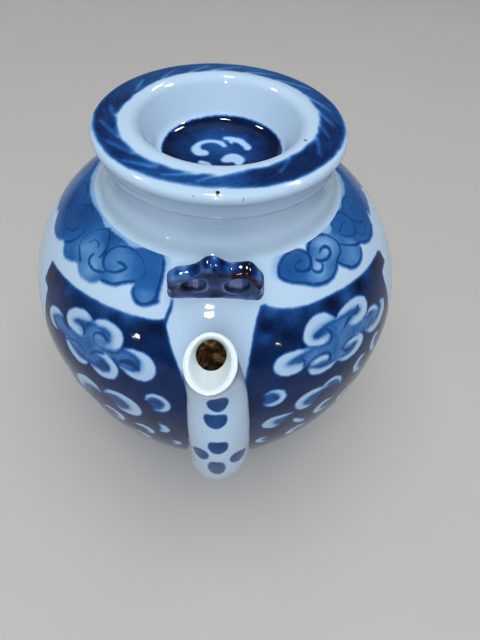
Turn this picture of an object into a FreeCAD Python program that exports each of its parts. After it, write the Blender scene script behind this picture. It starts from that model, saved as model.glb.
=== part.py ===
"""Porcelain teapot with a sunken lid, a curved spout and two double-eyed handle lugs.

Millimetres, +Z up. The origin is the centre of the foot on the table, and the spout points to -Y.
"""
import FreeCAD, Part
import math
import os
import Sketcher

# Driving dimensions, each in its own cell of the sheet
SIZES = {
    # Pot body: widest line, wall and the two arcs of the lower side
    "belly_radius": 58.0,
    "belly_height": 54.0,
    "wall": 4.0,
    "side_round": 84.0,
    "heel_round": 16.0,
    "shoulder_rise": 37.5,
    "shoulder_lip": 2.4,
    "slip_gap": 0.05,
    # Foot ring
    "foot_height": 5.0,
    "foot_inset": 0.5,
    "foot_width": 5.0,
    "foot_bevel": 1.0,
    # Neck collar
    "collar_waist_radius": 31.0,
    "collar_waist_rise": 6.3,
    "collar_foot_flare": 3.0,
    "collar_rim_flare": 0.4,
    "collar_rim_rise": 4.5,
    "collar_wall": 4.0,
    # Lid
    "lid_thickness": 8.1,
    "lid_slope": 8.0,
    "lid_wall": 4.0,
    "lip_overhang": 1.9,
    "lip_round": 2.2,
    "well_depth": 9.9,
    "well_taper": 2.4,
    "well_flare": 7.9,
    "well_round": 3.5,
    "flange_clearance": 0.5,
    "flange_width": 3.5,
    "flange_depth": 8.0,
    "flange_bevel": 1.0,
    # Spout: how far each station stands out from the belly, its height from the widest line,
    # its lean from the vertical and its half width
    "root_out": -9.0,
    "root_drop": 17.0,
    "root_lean": 72.0,
    "root_half_width": 9.6,
    "elbow_out": 3.5,
    "elbow_drop": 7.0,
    "elbow_lean": 38.0,
    "elbow_half_width": 8.0,
    "stem_out": 7.0,
    "stem_rise": 6.0,
    "stem_lean": 2.0,
    "stem_half_width": 7.7,
    "throat_out": 5.8,
    "throat_rise": 23.0,
    "throat_lean": -4.0,
    "throat_half_width": 7.1,
    "tip_out": 5.6,
    "tip_rise": 34.0,
    "tip_lean": 12.0,
    "tip_half_width": 5.9,
    "pour_out": 7.4,
    "pour_rise": 39.4,
    "pour_half_width": 5.4,
    "pour_stretch": 2.5,
    "spout_oval": 0.4,
    # Spout bore
    "root_wall": 2.6,
    "spout_wall": 2.9,
    "pour_wall": 1.2,
    "mouth_out": 3.7,
    "mouth_rise": 37.1,
    "mouth_lean": 30.0,
    "mouth_half_width": 3.05,
    # Sideways lean of the spout, and the height from the widest line of the point it turns about
    "spout_skew": 2.4,
    "skew_rise": 30.0,
    # Strainer pierced behind the spout
    "strainer_hole_radius": 1.5,
    "strainer_ring_radius": 4.6,
    "strainer_holes": 6,
    # Lugs, each with a knobbed bar over two eyes
    "lug_standoff": 7.8,
    "lug_tilt": 16.0,
    "lug_half_width": 11.3,
    "lug_bar_height": 10.0,
    "lug_corner": 3.6,
    "lug_depth": 4.2,
    "lug_root": 7.0,
    "knob_round": 3.8,
    "knob_rise": 2.6,
    "knob_blend": 2.5,
    "lug_edge_round": 1.2,
    "eye_radius": 2.9,
    "eye_spacing": 10.0,
    "eye_height": 5.3,
}

# Sizes that follow from the driving ones
DERIVED = {
    "base_radius": "belly_radius - side_round"
    " + sqrt((side_round - heel_round)^2 - (belly_height - foot_height - heel_round)^2)",
    "foot_radius": "base_radius - foot_inset",
    "shoulder_top": "belly_height + shoulder_rise",
    "collar_foot_radius": "collar_waist_radius + collar_foot_flare",
    "collar_rim_radius": "collar_waist_radius + collar_rim_flare",
    "collar_waist_height": "shoulder_top + collar_waist_rise",
    "neck_bore": "collar_waist_radius - collar_wall",
    "seat_height": "collar_waist_height + collar_rim_rise",
    "lid_top": "seat_height + lid_thickness",
    "lip_radius": "collar_rim_radius + lip_overhang",
    "lip_centre_radius": "lip_radius - lip_round",
    "flange_radius": "neck_bore - flange_clearance",
    "flange_inner": "flange_radius - flange_width",
    "well_under_radius": "flange_inner - well_taper",
    "well_floor_radius": "well_under_radius - lid_wall",
    "well_mouth_radius": "well_floor_radius + well_flare",
    "well_floor_height": "lid_top - well_depth",
    "well_under_height": "well_floor_height - lid_wall",
    "lip_fall": "(lip_centre_radius - well_mouth_radius) * tan(lid_slope * 1 deg)",
    "lip_centre_height": "lid_top - lip_fall - lip_round / cos(lid_slope * 1 deg)",
    "strainer_height": "belly_height - root_drop"
    " - (root_out + wall / 2) * tan(90 deg - root_lean * 1 deg)",
    "strainer_side": "(skew_rise + root_drop) * sin(spout_skew * 1 deg)",
    "shoulder_span": "belly_radius - collar_foot_radius",
    "shoulder_round": "(shoulder_span^2 + shoulder_rise^2) / (2 * shoulder_span)",
    "lug_radius": "collar_foot_radius + lug_standoff",
    "lug_height": "belly_height"
    " + sqrt(shoulder_round^2 - (lug_radius - belly_radius + shoulder_round)^2)",
    "knob_height": "lug_bar_height + knob_rise - knob_round",
}

doc = FreeCAD.newDocument("teapot")
sheet = doc.addObject("Spreadsheet::Sheet", "Sizes")


def fill_sheet():
    """Write every size and every derived size to the sheet, one aliased cell each."""
    cells = {alias: str(value) for alias, value in SIZES.items()}
    cells.update({alias: "=" + formula for alias, formula in DERIVED.items()})
    for row, (alias, content) in enumerate(cells.items(), start=1):
        sheet.set(f"A{row}", alias)
        sheet.set(f"B{row}", content)
        sheet.setAlias(f"B{row}", alias)
    doc.recompute()


def value(alias):
    """The number that the sheet holds for an alias."""
    return float(sheet.get(alias))


def cell(alias):
    """The expression that reads an alias from another object."""
    return f"Sizes.{alias}"


def pair(first, second=None, sign=1):
    """An (amount, expression) pair for one alias, or for the sum or difference of two."""
    if second is None:
        return value(first), cell(first)
    mark = "+" if sign > 0 else "-"
    return value(first) + sign * value(second), f"{cell(first)} {mark} {cell(second)}"


def new_body(label):
    body = doc.addObject("PartDesign::Body", label)
    body.Label = label
    return body


def origin_plane(body, role):
    return next(feature for feature in body.Origin.OriginFeatures if feature.Role == role)


class Outline:
    """A sketch of lines and arcs on one of a body's own planes, with its sizes bound to the sheet."""

    def __init__(self, body, name, plane="XZ_Plane"):
        self.sketch = body.newObject("Sketcher::SketchObject", name)
        self.sketch.AttachmentSupport = [(origin_plane(body, plane), "")]
        self.sketch.MapMode = "FlatFace"

    def line(self, start, end):
        return self.sketch.addGeometry(
            Part.LineSegment(FreeCAD.Vector(*start, 0), FreeCAD.Vector(*end, 0)), False
        )

    def arc(self, centre, radius, first, last):
        """An arc drawn anticlockwise from the first angle to the last, in radians."""
        circle = Part.Circle(FreeCAD.Vector(*centre, 0), FreeCAD.Vector(0, 0, 1), radius)
        return self.sketch.addGeometry(Part.ArcOfCircle(circle, first, last), False)

    def circle(self, centre, radius):
        return self.sketch.addGeometry(
            Part.Circle(FreeCAD.Vector(*centre, 0), FreeCAD.Vector(0, 0, 1), radius), False
        )

    def rule(self, kind, *where):
        self.sketch.addConstraint(Sketcher.Constraint(kind, *where))

    def chain(self, *corners):
        """Join pairs of end points, each given as (curve, point, curve, point)."""
        for corner in corners:
            self.rule("Coincident", *corner)

    def size(self, kind, where, amount, expression):
        """A dimension at its present amount, bound to an expression."""
        index = self.sketch.addConstraint(Sketcher.Constraint(kind, *where, amount))
        name = f"size_{index}"
        self.sketch.renameConstraint(index, name)
        self.sketch.setExpression(f"Constraints.{name}", expression)

    def at(self, curve, point, across=None, up=None):
        """Place a point by its distance from the axis and its height, each an alias."""
        if across:
            self.size("DistanceX", (-1, 1, curve, point), value(across), cell(across))
        if up:
            self.size("DistanceY", (-1, 1, curve, point), value(up), cell(up))


def revolve(body, outline, name, cut=False):
    """Turn an outline once round the vertical axis, as material or as a cut."""
    kind = "PartDesign::Groove" if cut else "PartDesign::Revolution"
    turned = body.newObject(kind, name)
    turned.Profile = outline.sketch
    turned.ReferenceAxis = (outline.sketch, ["V_Axis"])
    turned.Angle = 360.0
    return turned


def bowl_outline(body, name, offset=None, sign=1):
    """Half section of the lower pot, flat base, heel arc and side arc, grown or shrunk by an alias."""
    belly = pair("belly_radius", offset, sign)
    side = pair("side_round", offset, sign)
    heel = pair("heel_round", offset, sign)
    floor = pair("foot_height", offset, -sign)
    top = value("belly_height")
    base = value("base_radius")
    heel_up = floor[0] + heel[0]
    side_across = belly[0] - side[0]
    lean = math.atan2(heel_up - top, base - side_across)

    outline = Outline(body, name)
    floor_line = outline.line((0, floor[0]), (base, floor[0]))
    heel_arc = outline.arc((base, heel_up), heel[0], -math.pi / 2, lean)
    side_arc = outline.arc((side_across, top), side[0], lean, 0)
    top_line = outline.line((belly[0], top), (0, top))
    axis_line = outline.line((0, top), (0, floor[0]))
    outline.rule("Tangent", floor_line, 2, heel_arc, 1)
    outline.rule("Tangent", heel_arc, 2, side_arc, 1)
    outline.chain(
        (side_arc, 2, top_line, 1), (top_line, 2, axis_line, 1), (axis_line, 2, floor_line, 1)
    )
    outline.rule("Horizontal", floor_line)
    outline.rule("Horizontal", top_line)
    outline.rule("PointOnObject", axis_line, 1, -2)
    outline.rule("PointOnObject", axis_line, 2, -2)
    outline.rule("Horizontal", side_arc, 3, side_arc, 2)
    outline.size("DistanceX", (-1, 1, side_arc, 2), *belly)
    outline.at(side_arc, 2, up="belly_height")
    outline.size("Radius", (side_arc,), *side)
    outline.size("Radius", (heel_arc,), *heel)
    outline.size("DistanceY", (-1, 1, floor_line, 1), *floor)
    return outline


def dome_outline(body, name, belly, end_radius, end_height):
    """Half section of the shoulder: one arc, upright at the belly. Each size is (amount, expression)."""
    bottom = value("belly_height")
    across = belly[0] - end_radius[0]
    rise = end_height[0] - bottom
    radius = (across**2 + rise**2) / (2 * across)
    turn = math.atan2(rise, end_radius[0] - (belly[0] - radius))

    outline = Outline(body, name)
    bottom_line = outline.line((0, bottom), (belly[0], bottom))
    shoulder_arc = outline.arc((belly[0] - radius, bottom), radius, 0, turn)
    top_line = outline.line((end_radius[0], end_height[0]), (0, end_height[0]))
    axis_line = outline.line((0, end_height[0]), (0, bottom))
    outline.chain(
        (bottom_line, 2, shoulder_arc, 1),
        (shoulder_arc, 2, top_line, 1),
        (top_line, 2, axis_line, 1),
        (axis_line, 2, bottom_line, 1),
    )
    outline.rule("Horizontal", bottom_line)
    outline.rule("Horizontal", top_line)
    outline.rule("PointOnObject", axis_line, 1, -2)
    outline.rule("PointOnObject", axis_line, 2, -2)
    outline.rule("Horizontal", shoulder_arc, 3, shoulder_arc, 1)
    outline.at(bottom_line, 1, up="belly_height")
    outline.size("DistanceX", (-1, 1, bottom_line, 2), *belly)
    outline.size("DistanceX", (-1, 1, top_line, 1), *end_radius)
    outline.size("DistanceY", (-1, 1, top_line, 1), *end_height)
    return outline


def pierce_strainer(body):
    """A middle hole and a ring of holes through the front wall, where the spout covers it."""

    def hole(name, offset_alias):
        outline = Outline(body, name)
        outline.sketch.setExpression("AttachmentOffset.Base.x", cell("strainer_side"))
        outline.sketch.setExpression("AttachmentOffset.Base.y", cell("strainer_height"))
        radius = value("strainer_hole_radius")
        if offset_alias is None:
            ring = outline.circle((0, 0), radius)
            outline.rule("Coincident", ring, 3, -1, 1)
        else:
            ring = outline.circle((0, value(offset_alias)), radius)
            outline.rule("PointOnObject", ring, 3, -2)
            outline.size("DistanceY", (-1, 1, ring, 3), *pair(offset_alias))
        outline.size("Radius", (ring,), *pair("strainer_hole_radius"))
        pocket = body.newObject("PartDesign::Pocket", name + "_cut")
        pocket.Profile = outline.sketch
        pocket.Type = "ThroughAll"
        pocket.Reversed = True
        return outline.sketch, pocket

    hole("strainer_middle", None)
    sketch, pocket = hole("strainer_outer", "strainer_ring_radius")
    doc.recompute()
    ring = body.newObject("PartDesign::PolarPattern", "strainer_ring")
    ring.Originals = [pocket]
    ring.Axis = (sketch, ["N_Axis"])
    ring.Angle = 360.0
    ring.setExpression("Occurrences", cell("strainer_holes"))
    body.Tip = ring


def make_lower_body():
    body = new_body("lower_body")
    revolve(body, bowl_outline(body, "bowl_outside"), "bowl")
    revolve(body, bowl_outline(body, "bowl_inside", "wall", -1), "hollow", cut=True)
    doc.recompute()
    pierce_strainer(body)
    return body


def make_upper_body():
    body = new_body("upper_body")
    outside = dome_outline(
        body, "dome_outside", pair("belly_radius"), pair("collar_foot_radius"), pair("shoulder_top")
    )
    revolve(body, outside, "dome")
    inside = dome_outline(
        body,
        "dome_inside",
        pair("belly_radius", "wall", -1),
        pair("neck_bore"),
        pair("shoulder_top", "shoulder_lip", -1),
    )
    revolve(body, inside, "hollow", cut=True)
    doc.recompute()
    opening = Outline(body, "neck_opening", "XY_Plane")
    ring = opening.circle((0, 0), value("neck_bore"))
    opening.rule("Coincident", ring, 3, -1, 1)
    opening.size("Radius", (ring,), *pair("neck_bore"))
    pocket = body.newObject("PartDesign::Pocket", "neck_hole")
    pocket.Profile = opening.sketch
    pocket.Type = "ThroughAll"
    pocket.Reversed = True
    return body


def make_neck_collar():
    """A hollow-sided collar: one arc from its foot to its waist, another from the waist to its rim."""
    body = new_body("neck_collar")
    bore = value("neck_bore")
    waist = value("collar_waist_radius")
    bottom = value("shoulder_top")
    middle = value("collar_waist_height")
    top = value("seat_height")

    def hollow(flare, rise):
        return (flare**2 + rise**2) / (2 * flare)

    foot_round = hollow(value("collar_foot_flare"), value("collar_waist_rise"))
    rim_round = hollow(value("collar_rim_flare"), value("collar_rim_rise"))
    foot_turn = math.asin(value("collar_waist_rise") / foot_round)
    rim_turn = math.asin(value("collar_rim_rise") / rim_round)

    outline = Outline(body, "collar_section")
    bottom_line = outline.line((bore, bottom), (value("collar_foot_radius"), bottom))
    foot_arc = outline.arc((waist + foot_round, middle), foot_round, math.pi, math.pi + foot_turn)
    rim_arc = outline.arc((waist + rim_round, middle), rim_round, math.pi - rim_turn, math.pi)
    top_line = outline.line((value("collar_rim_radius"), top), (bore, top))
    bore_line = outline.line((bore, top), (bore, bottom))
    outline.chain(
        (bottom_line, 2, foot_arc, 2),
        (foot_arc, 1, rim_arc, 2),
        (rim_arc, 1, top_line, 1),
        (top_line, 2, bore_line, 1),
        (bore_line, 2, bottom_line, 1),
    )
    outline.rule("Horizontal", bottom_line)
    outline.rule("Horizontal", top_line)
    outline.rule("Vertical", bore_line)
    outline.rule("Horizontal", foot_arc, 3, foot_arc, 1)
    outline.rule("Horizontal", rim_arc, 3, rim_arc, 2)
    outline.at(foot_arc, 1, "collar_waist_radius", "collar_waist_height")
    outline.at(bottom_line, 2, "collar_foot_radius", "shoulder_top")
    outline.at(top_line, 1, "collar_rim_radius", "seat_height")
    outline.at(bore_line, 1, across="neck_bore")
    revolve(body, outline, "collar")
    return body


def make_foot_ring():
    """A square ring under the base, with both lower edges bevelled."""
    body = new_body("foot_ring")
    outer = value("foot_radius")
    inner = outer - value("foot_width")
    top = value("foot_height")
    bevel = value("foot_bevel")

    outline = Outline(body, "foot_section")
    corners = [
        (inner, top),
        (outer, top),
        (outer, bevel),
        (outer - bevel, 0),
        (inner + bevel, 0),
        (inner, bevel),
    ]
    sides = [outline.line(a, b) for a, b in zip(corners, corners[1:] + corners[:1])]
    for side, following in zip(sides, sides[1:] + sides[:1]):
        outline.rule("Coincident", side, 2, following, 1)
    top_line, outer_line, outer_bevel, rest_line, inner_bevel, inner_line = sides
    outline.rule("Horizontal", top_line)
    outline.rule("Vertical", outer_line)
    outline.rule("PointOnObject", rest_line, 1, -1)
    outline.rule("PointOnObject", rest_line, 2, -1)
    outline.rule("Vertical", inner_line)
    outline.at(top_line, 2, "foot_radius", "foot_height")
    outline.size("DistanceX", (top_line, 1, top_line, 2), *pair("foot_width"))
    outline.size("DistanceX", (outer_bevel, 2, outer_bevel, 1), *pair("foot_bevel"))
    outline.size("DistanceY", (outer_bevel, 2, outer_bevel, 1), *pair("foot_bevel"))
    outline.size("DistanceX", (inner_bevel, 2, inner_bevel, 1), *pair("foot_bevel"))
    outline.size("DistanceY", (inner_bevel, 1, inner_bevel, 2), *pair("foot_bevel"))
    revolve(body, outline, "foot")
    return body


def make_lid_dish():
    """A thick disc: rolled lip over a hollow edge, sloping top, rounded well and a stepped underside."""
    body = new_body("lid_dish")
    seat = value("seat_height")
    top = value("lid_top")
    lip = value("lip_round")
    lip_across = value("lip_centre_radius")
    lip_up = value("lip_centre_height")
    slope = math.radians(value("lid_slope"))
    seat_radius = value("collar_rim_radius")
    mouth = value("well_mouth_radius")
    edge = value("well_round")
    floor_radius = value("well_floor_radius")
    floor = value("well_floor_height")
    under = value("well_under_height")
    under_radius = value("well_under_radius")
    flange_inner = value("flange_inner")

    # The hollow edge meets the rolled lip in a smooth S and is upright at the seat
    side = seat_radius - lip_across
    rise = lip_up - seat
    hollow = (side**2 + rise**2 - lip**2) / (2 * (lip - side))
    turn = math.atan2(rise, side + hollow)
    # The well's wall is a tangent from the floor's edge to the rounded mouth
    edge_across = mouth - edge * math.sin(slope)
    edge_up = top - edge * math.cos(slope)
    reach = math.hypot(edge_across - floor_radius, edge_up - floor)
    slant = math.atan2(floor - edge_up, floor_radius - edge_across)
    touch = slant + 2 * math.pi - math.acos(edge / reach)
    touch_point = (edge_across + edge * math.cos(touch), edge_up + edge * math.sin(touch))
    lip_point = (lip_across + lip * math.sin(slope), lip_up + lip * math.cos(slope))

    outline = Outline(body, "lid_section")
    under_line = outline.line((0, under), (under_radius, under))
    taper_line = outline.line((under_radius, under), (flange_inner, seat))
    seat_line = outline.line((flange_inner, seat), (seat_radius, seat))
    hollow_arc = outline.arc((seat_radius + hollow, seat), hollow, math.pi - turn, math.pi)
    lip_arc = outline.arc((lip_across, lip_up), lip, -turn, math.pi / 2 - slope)
    top_line = outline.line(lip_point, (mouth, top))
    edge_arc = outline.arc((edge_across, edge_up), edge, math.pi / 2 - slope, touch)
    wall_line = outline.line(touch_point, (floor_radius, floor))
    floor_line = outline.line((floor_radius, floor), (0, floor))
    axis_line = outline.line((0, floor), (0, under))
    outline.chain(
        (under_line, 2, taper_line, 1),
        (taper_line, 2, seat_line, 1),
        (seat_line, 2, hollow_arc, 2),
        (wall_line, 2, floor_line, 1),
        (floor_line, 2, axis_line, 1),
        (axis_line, 2, under_line, 1),
    )
    outline.rule("Tangent", hollow_arc, 1, lip_arc, 1)
    outline.rule("Tangent", lip_arc, 2, top_line, 1)
    outline.rule("Tangent", top_line, 2, edge_arc, 1)
    outline.rule("Tangent", edge_arc, 2, wall_line, 1)
    outline.rule("Horizontal", under_line)
    outline.rule("Horizontal", seat_line)
    outline.rule("Horizontal", floor_line)
    outline.rule("PointOnObject", axis_line, 1, -2)
    outline.rule("PointOnObject", axis_line, 2, -2)
    outline.rule("Horizontal", hollow_arc, 3, hollow_arc, 2)
    outline.size("Angle", (top_line,), math.pi - slope, f"180 deg - {cell('lid_slope')} * 1 deg")
    outline.at(under_line, 2, "well_under_radius", "well_under_height")
    outline.at(seat_line, 1, "flange_inner", "seat_height")
    outline.at(seat_line, 2, across="collar_rim_radius")
    outline.size("Radius", (lip_arc,), *pair("lip_round"))
    outline.at(lip_arc, 3, across="lip_centre_radius")
    outline.at(top_line, 2, "well_mouth_radius", "lid_top")
    outline.size("Radius", (edge_arc,), *pair("well_round"))
    outline.at(wall_line, 2, "well_floor_radius", "well_floor_height")
    revolve(body, outline, "dish")
    return body


def make_lid_flange():
    """The locating ring under the lid, with a lead-in bevel on its lower outer edge."""
    body = new_body("lid_flange")
    inner = value("flange_inner")
    outer = value("flange_radius")
    top = value("seat_height")
    bottom = top - value("flange_depth")
    bevel = value("flange_bevel")

    outline = Outline(body, "flange_section")
    corners = [
        (inner, top),
        (outer, top),
        (outer, bottom + bevel),
        (outer - bevel, bottom),
        (inner, bottom),
    ]
    sides = [outline.line(a, b) for a, b in zip(corners, corners[1:] + corners[:1])]
    for line, following in zip(sides, sides[1:] + sides[:1]):
        outline.rule("Coincident", line, 2, following, 1)
    top_line, outer_line, bevel_line, bottom_line, inner_line = sides
    outline.rule("Horizontal", top_line)
    outline.rule("Vertical", outer_line)
    outline.rule("Horizontal", bottom_line)
    outline.rule("Vertical", inner_line)
    outline.at(top_line, 1, "flange_inner", "seat_height")
    outline.at(top_line, 2, across="flange_radius")
    outline.size("DistanceY", (inner_line, 1, inner_line, 2), *pair("flange_depth"))
    outline.size("DistanceX", (bevel_line, 2, bevel_line, 1), *pair("flange_bevel"))
    outline.size("DistanceY", (bevel_line, 2, bevel_line, 1), *pair("flange_bevel"))
    revolve(body, outline, "flange")
    return body


def make_pot_form():
    """The pot's outer form as one solid, a slip's thickness larger, that shapes what is luted to it."""
    body = new_body("pot_form")
    revolve(body, bowl_outline(body, "lower_form_section", "slip_gap"), "lower_form")
    doc.recompute()
    upper = dome_outline(
        body,
        "upper_form_section",
        pair("belly_radius", "slip_gap"),
        pair("collar_foot_radius", "slip_gap"),
        pair("shoulder_top"),
    )
    revolve(body, upper, "upper_form")
    return body


def seat_on_pot(blank, pot_form, label):
    """Cut a blank back to the pot's surface, as a potter trims a piece before luting it."""
    seated = doc.addObject("Part::Cut", label)
    seated.Label = label
    seated.Base = blank
    seated.Tool = pot_form
    return seated


def lean_sketch(sketch, alias):
    """Turn a sketch about its own horizontal axis by an angle from the sheet."""
    sketch.AttachmentOffset = FreeCAD.Placement(
        FreeCAD.Vector(0, 0, 0), FreeCAD.Rotation(FreeCAD.Vector(1, 0, 0), value(alias))
    )
    sketch.setExpression("AttachmentOffset.Rotation.Angle", cell(alias))


def spout_section(body, name, station, half_width, half_depth):
    """An oval across the spout at one station. Half width and depth are (amount, expression) pairs."""
    outline = Outline(body, name, "XY_Plane")
    sketch = outline.sketch
    if station + "_lean" in SIZES:
        lean_sketch(sketch, station + "_lean")
    if station + "_rise" in SIZES:
        level = f"{cell('belly_height')} + {cell(station + '_rise')}"
    else:
        level = f"{cell('belly_height')} - {cell(station + '_drop')}"
    reach = f"{cell('belly_radius')} + {cell(station + '_out')}"
    sketch.setExpression("AttachmentOffset.Base.y", f"-({reach})")
    sketch.setExpression("AttachmentOffset.Base.z", level)
    oval = sketch.addGeometry(
        Part.Ellipse(
            FreeCAD.Vector(0, half_depth[0], 0),
            FreeCAD.Vector(half_width[0], 0, 0),
            FreeCAD.Vector(0, 0, 0),
        ),
        False,
    )
    sketch.exposeInternalGeometry(oval)
    long_axis, short_axis = oval + 1, oval + 2
    outline.rule("Coincident", oval, 3, -1, 1)
    outline.rule("Vertical", long_axis)
    outline.size("Distance", (long_axis,), 2 * half_depth[0], f"2 * ({half_depth[1]})")
    outline.size("Distance", (short_axis,), 2 * half_width[0], f"2 * ({half_width[1]})")
    return sketch


def wider(size, alias):
    """A pair made larger by an alias."""
    return size[0] + value(alias), f"{size[1]} + {cell(alias)}"


def make_spout_blank():
    """The spout as a lofted oval tube: an S from the belly to a flared pouring lip, and its bore."""
    body = new_body("spout_blank")

    def oval(name, station, half_width, stretch):
        return spout_section(body, name, station, half_width, wider(half_width, stretch))

    stations = ("root", "elbow", "stem", "throat", "tip")
    skins = [
        oval(station + "_skin", station, pair(station + "_half_width"), "spout_oval")
        for station in stations
    ]
    skins.append(oval("pour_skin", "pour", pair("pour_half_width"), "pour_stretch"))
    skin = body.newObject("PartDesign::AdditiveLoft", "skin")
    skin.Profile = skins[0]
    skin.Sections = skins[1:]
    doc.recompute()

    walls = {"root": "root_wall", "elbow": "spout_wall", "stem": "spout_wall", "throat": "spout_wall"}
    bores = [
        oval(station + "_bore", station, pair(station + "_half_width", wall, -1), "spout_oval")
        for station, wall in walls.items()
    ]
    bores.append(oval("mouth_bore", "mouth", pair("mouth_half_width"), "spout_oval"))
    bore = body.newObject("PartDesign::SubtractiveLoft", "bore")
    bore.Profile = bores[0]
    bore.Sections = bores[1:]
    doc.recompute()

    mouth = body.newObject("PartDesign::SubtractiveLoft", "mouth")
    mouth.Profile = bores[-1]
    mouth.Sections = [
        oval("mouth_edge", "pour", pair("pour_half_width", "pour_wall", -1), "pour_stretch")
    ]
    mouth.Ruled = True
    skew_spout(body)
    return body


def skew_spout(body):
    """Lean the spout a little sideways about a level line near its tip, as it was set by hand."""
    pivot = FreeCAD.Vector(0, 0, value("belly_height") + value("skew_rise"))
    body.Placement = FreeCAD.Placement(
        FreeCAD.Vector(0, 0, 0), FreeCAD.Rotation(FreeCAD.Vector(0, 1, 0), -value("spout_skew")), pivot
    )


def lug_plane(outline):
    """Stand a lug's sketch on the shoulder, leaning out over the spout."""
    lean_sketch(outline.sketch, "lug_tilt")
    outline.sketch.setExpression("AttachmentOffset.Base.y", cell("lug_height"))
    outline.sketch.setExpression("AttachmentOffset.Base.z", cell("lug_radius"))


def lug_outline(body):
    """Front view of a lug: upright ends with round corners, a straight bar and a knob in the middle."""
    half = value("lug_half_width")
    bar = value("lug_bar_height")
    corner = value("lug_corner")
    root = value("lug_root")
    knob = value("knob_round")
    knob_up = value("knob_height")
    blend = value("knob_blend")
    rise = bar + blend - knob_up
    blend_across = math.sqrt((knob + blend) ** 2 - rise**2)
    turn = math.atan2(rise, blend_across)

    outline = Outline(body, "lug_front")
    lug_plane(outline)
    foot_line = outline.line((-half, -root), (half, -root))
    right_line = outline.line((half, -root), (half, bar - corner))
    right_corner = outline.arc((half - corner, bar - corner), corner, 0, math.pi / 2)
    right_bar = outline.line((half - corner, bar), (blend_across, bar))
    right_blend = outline.arc((blend_across, bar + blend), blend, math.pi + turn, 1.5 * math.pi)
    knob_arc = outline.arc((0, knob_up), knob, turn, math.pi - turn)
    left_blend = outline.arc((-blend_across, bar + blend), blend, 1.5 * math.pi, 2 * math.pi - turn)
    left_bar = outline.line((-blend_across, bar), (corner - half, bar))
    left_corner = outline.arc((corner - half, bar - corner), corner, math.pi / 2, math.pi)
    left_line = outline.line((-half, bar - corner), (-half, -root))
    outline.chain((foot_line, 2, right_line, 1), (left_line, 2, foot_line, 1))
    for joint in (
        (right_line, 2, right_corner, 1),
        (right_corner, 2, right_bar, 1),
        (right_bar, 2, right_blend, 2),
        (right_blend, 1, knob_arc, 1),
        (knob_arc, 2, left_blend, 2),
        (left_blend, 1, left_bar, 1),
        (left_bar, 2, left_corner, 1),
        (left_corner, 2, left_line, 1),
    ):
        outline.rule("Tangent", *joint)
    outline.rule("Symmetric", foot_line, 1, foot_line, 2, -2)
    outline.rule("Vertical", right_line)
    outline.rule("Vertical", left_line)
    outline.rule("Horizontal", right_bar)
    outline.rule("Horizontal", left_bar)
    outline.rule("Horizontal", left_bar, 1, right_bar, 1)
    outline.rule("PointOnObject", knob_arc, 3, -2)
    outline.rule("Equal", right_corner, left_corner)
    outline.rule("Equal", right_blend, left_blend)
    outline.size("DistanceX", (-1, 1, right_line, 1), *pair("lug_half_width"))
    outline.size("DistanceY", (right_line, 1, -1, 1), *pair("lug_root"))
    outline.size("DistanceY", (-1, 1, right_bar, 1), *pair("lug_bar_height"))
    outline.size("Radius", (right_corner,), *pair("lug_corner"))
    outline.size("Radius", (knob_arc,), *pair("knob_round"))
    outline.size("DistanceY", (-1, 1, knob_arc, 3), *pair("knob_height"))
    outline.size("Radius", (right_blend,), *pair("knob_blend"))
    return outline


def lug_eyes(body):
    """Two round holes side by side through the lug."""
    outline = Outline(body, "lug_eyes")
    lug_plane(outline)
    across = value("eye_spacing") / 2
    up = value("eye_height")
    right_eye = outline.circle((across, up), value("eye_radius"))
    left_eye = outline.circle((-across, up), value("eye_radius"))
    outline.rule("Symmetric", right_eye, 3, left_eye, 3, -2)
    outline.rule("Equal", right_eye, left_eye)
    outline.size("Radius", (right_eye,), *pair("eye_radius"))
    outline.size("DistanceX", (left_eye, 3, right_eye, 3), *pair("eye_spacing"))
    outline.size("DistanceY", (-1, 1, right_eye, 3), *pair("eye_height"))
    return outline


def make_lug_blank(label, turn):
    """A lug with its eyes and rounded edges, turned about the pot's axis by an angle in degrees."""
    body = new_body(label)
    pad = body.newObject("PartDesign::Pad", "bar")
    pad.Profile = lug_outline(body).sketch
    pad.setExpression("Length", cell("lug_depth"))
    pad.Reversed = True
    doc.recompute()
    rounding = body.newObject("PartDesign::Fillet", "edge_round")
    rounding.Base = (pad, lug_edges(pad.Shape))
    rounding.setExpression("Radius", cell("lug_edge_round"))
    doc.recompute()
    eyes = body.newObject("PartDesign::Pocket", "eyes")
    eyes.Profile = lug_eyes(body).sketch
    eyes.Type = "ThroughAll"
    body.Placement = FreeCAD.Placement(
        FreeCAD.Vector(0, 0, 0), FreeCAD.Rotation(FreeCAD.Vector(0, 0, 1), turn)
    )
    return body


def lug_edges(shape):
    """Names of the edges round a lug's front and back faces, apart from the foot that is cut away."""
    tilt = math.radians(value("lug_tilt"))
    foot = FreeCAD.Vector(0, -value("lug_radius"), value("lug_height"))
    outward = FreeCAD.Vector(0, -math.cos(tilt), -math.sin(tilt))
    upward = FreeCAD.Vector(0, -math.sin(tilt), math.cos(tilt))
    names = []
    for index, edge in enumerate(shape.Edges, start=1):
        ends = [vertex.Point - foot for vertex in edge.Vertexes]
        along = abs((ends[0] - ends[-1]).dot(outward)) > value("lug_depth") / 2
        low = all(end.dot(upward) < -value("lug_root") / 2 for end in ends)
        if not along and not low:
            names.append(f"Edge{index}")
    return names


def check(objects):
    """Stop if any object failed, or if a piece has no valid solid."""
    failed = [item.Label for item in doc.Objects if {"Invalid", "Error"} & set(item.State)]
    for item in objects:
        if item.Shape.isNull() or not item.Shape.isValid() or not item.Shape.Solids:
            failed.append(item.Label)
    if failed:
        raise RuntimeError("these objects failed: " + ", ".join(failed))


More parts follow.
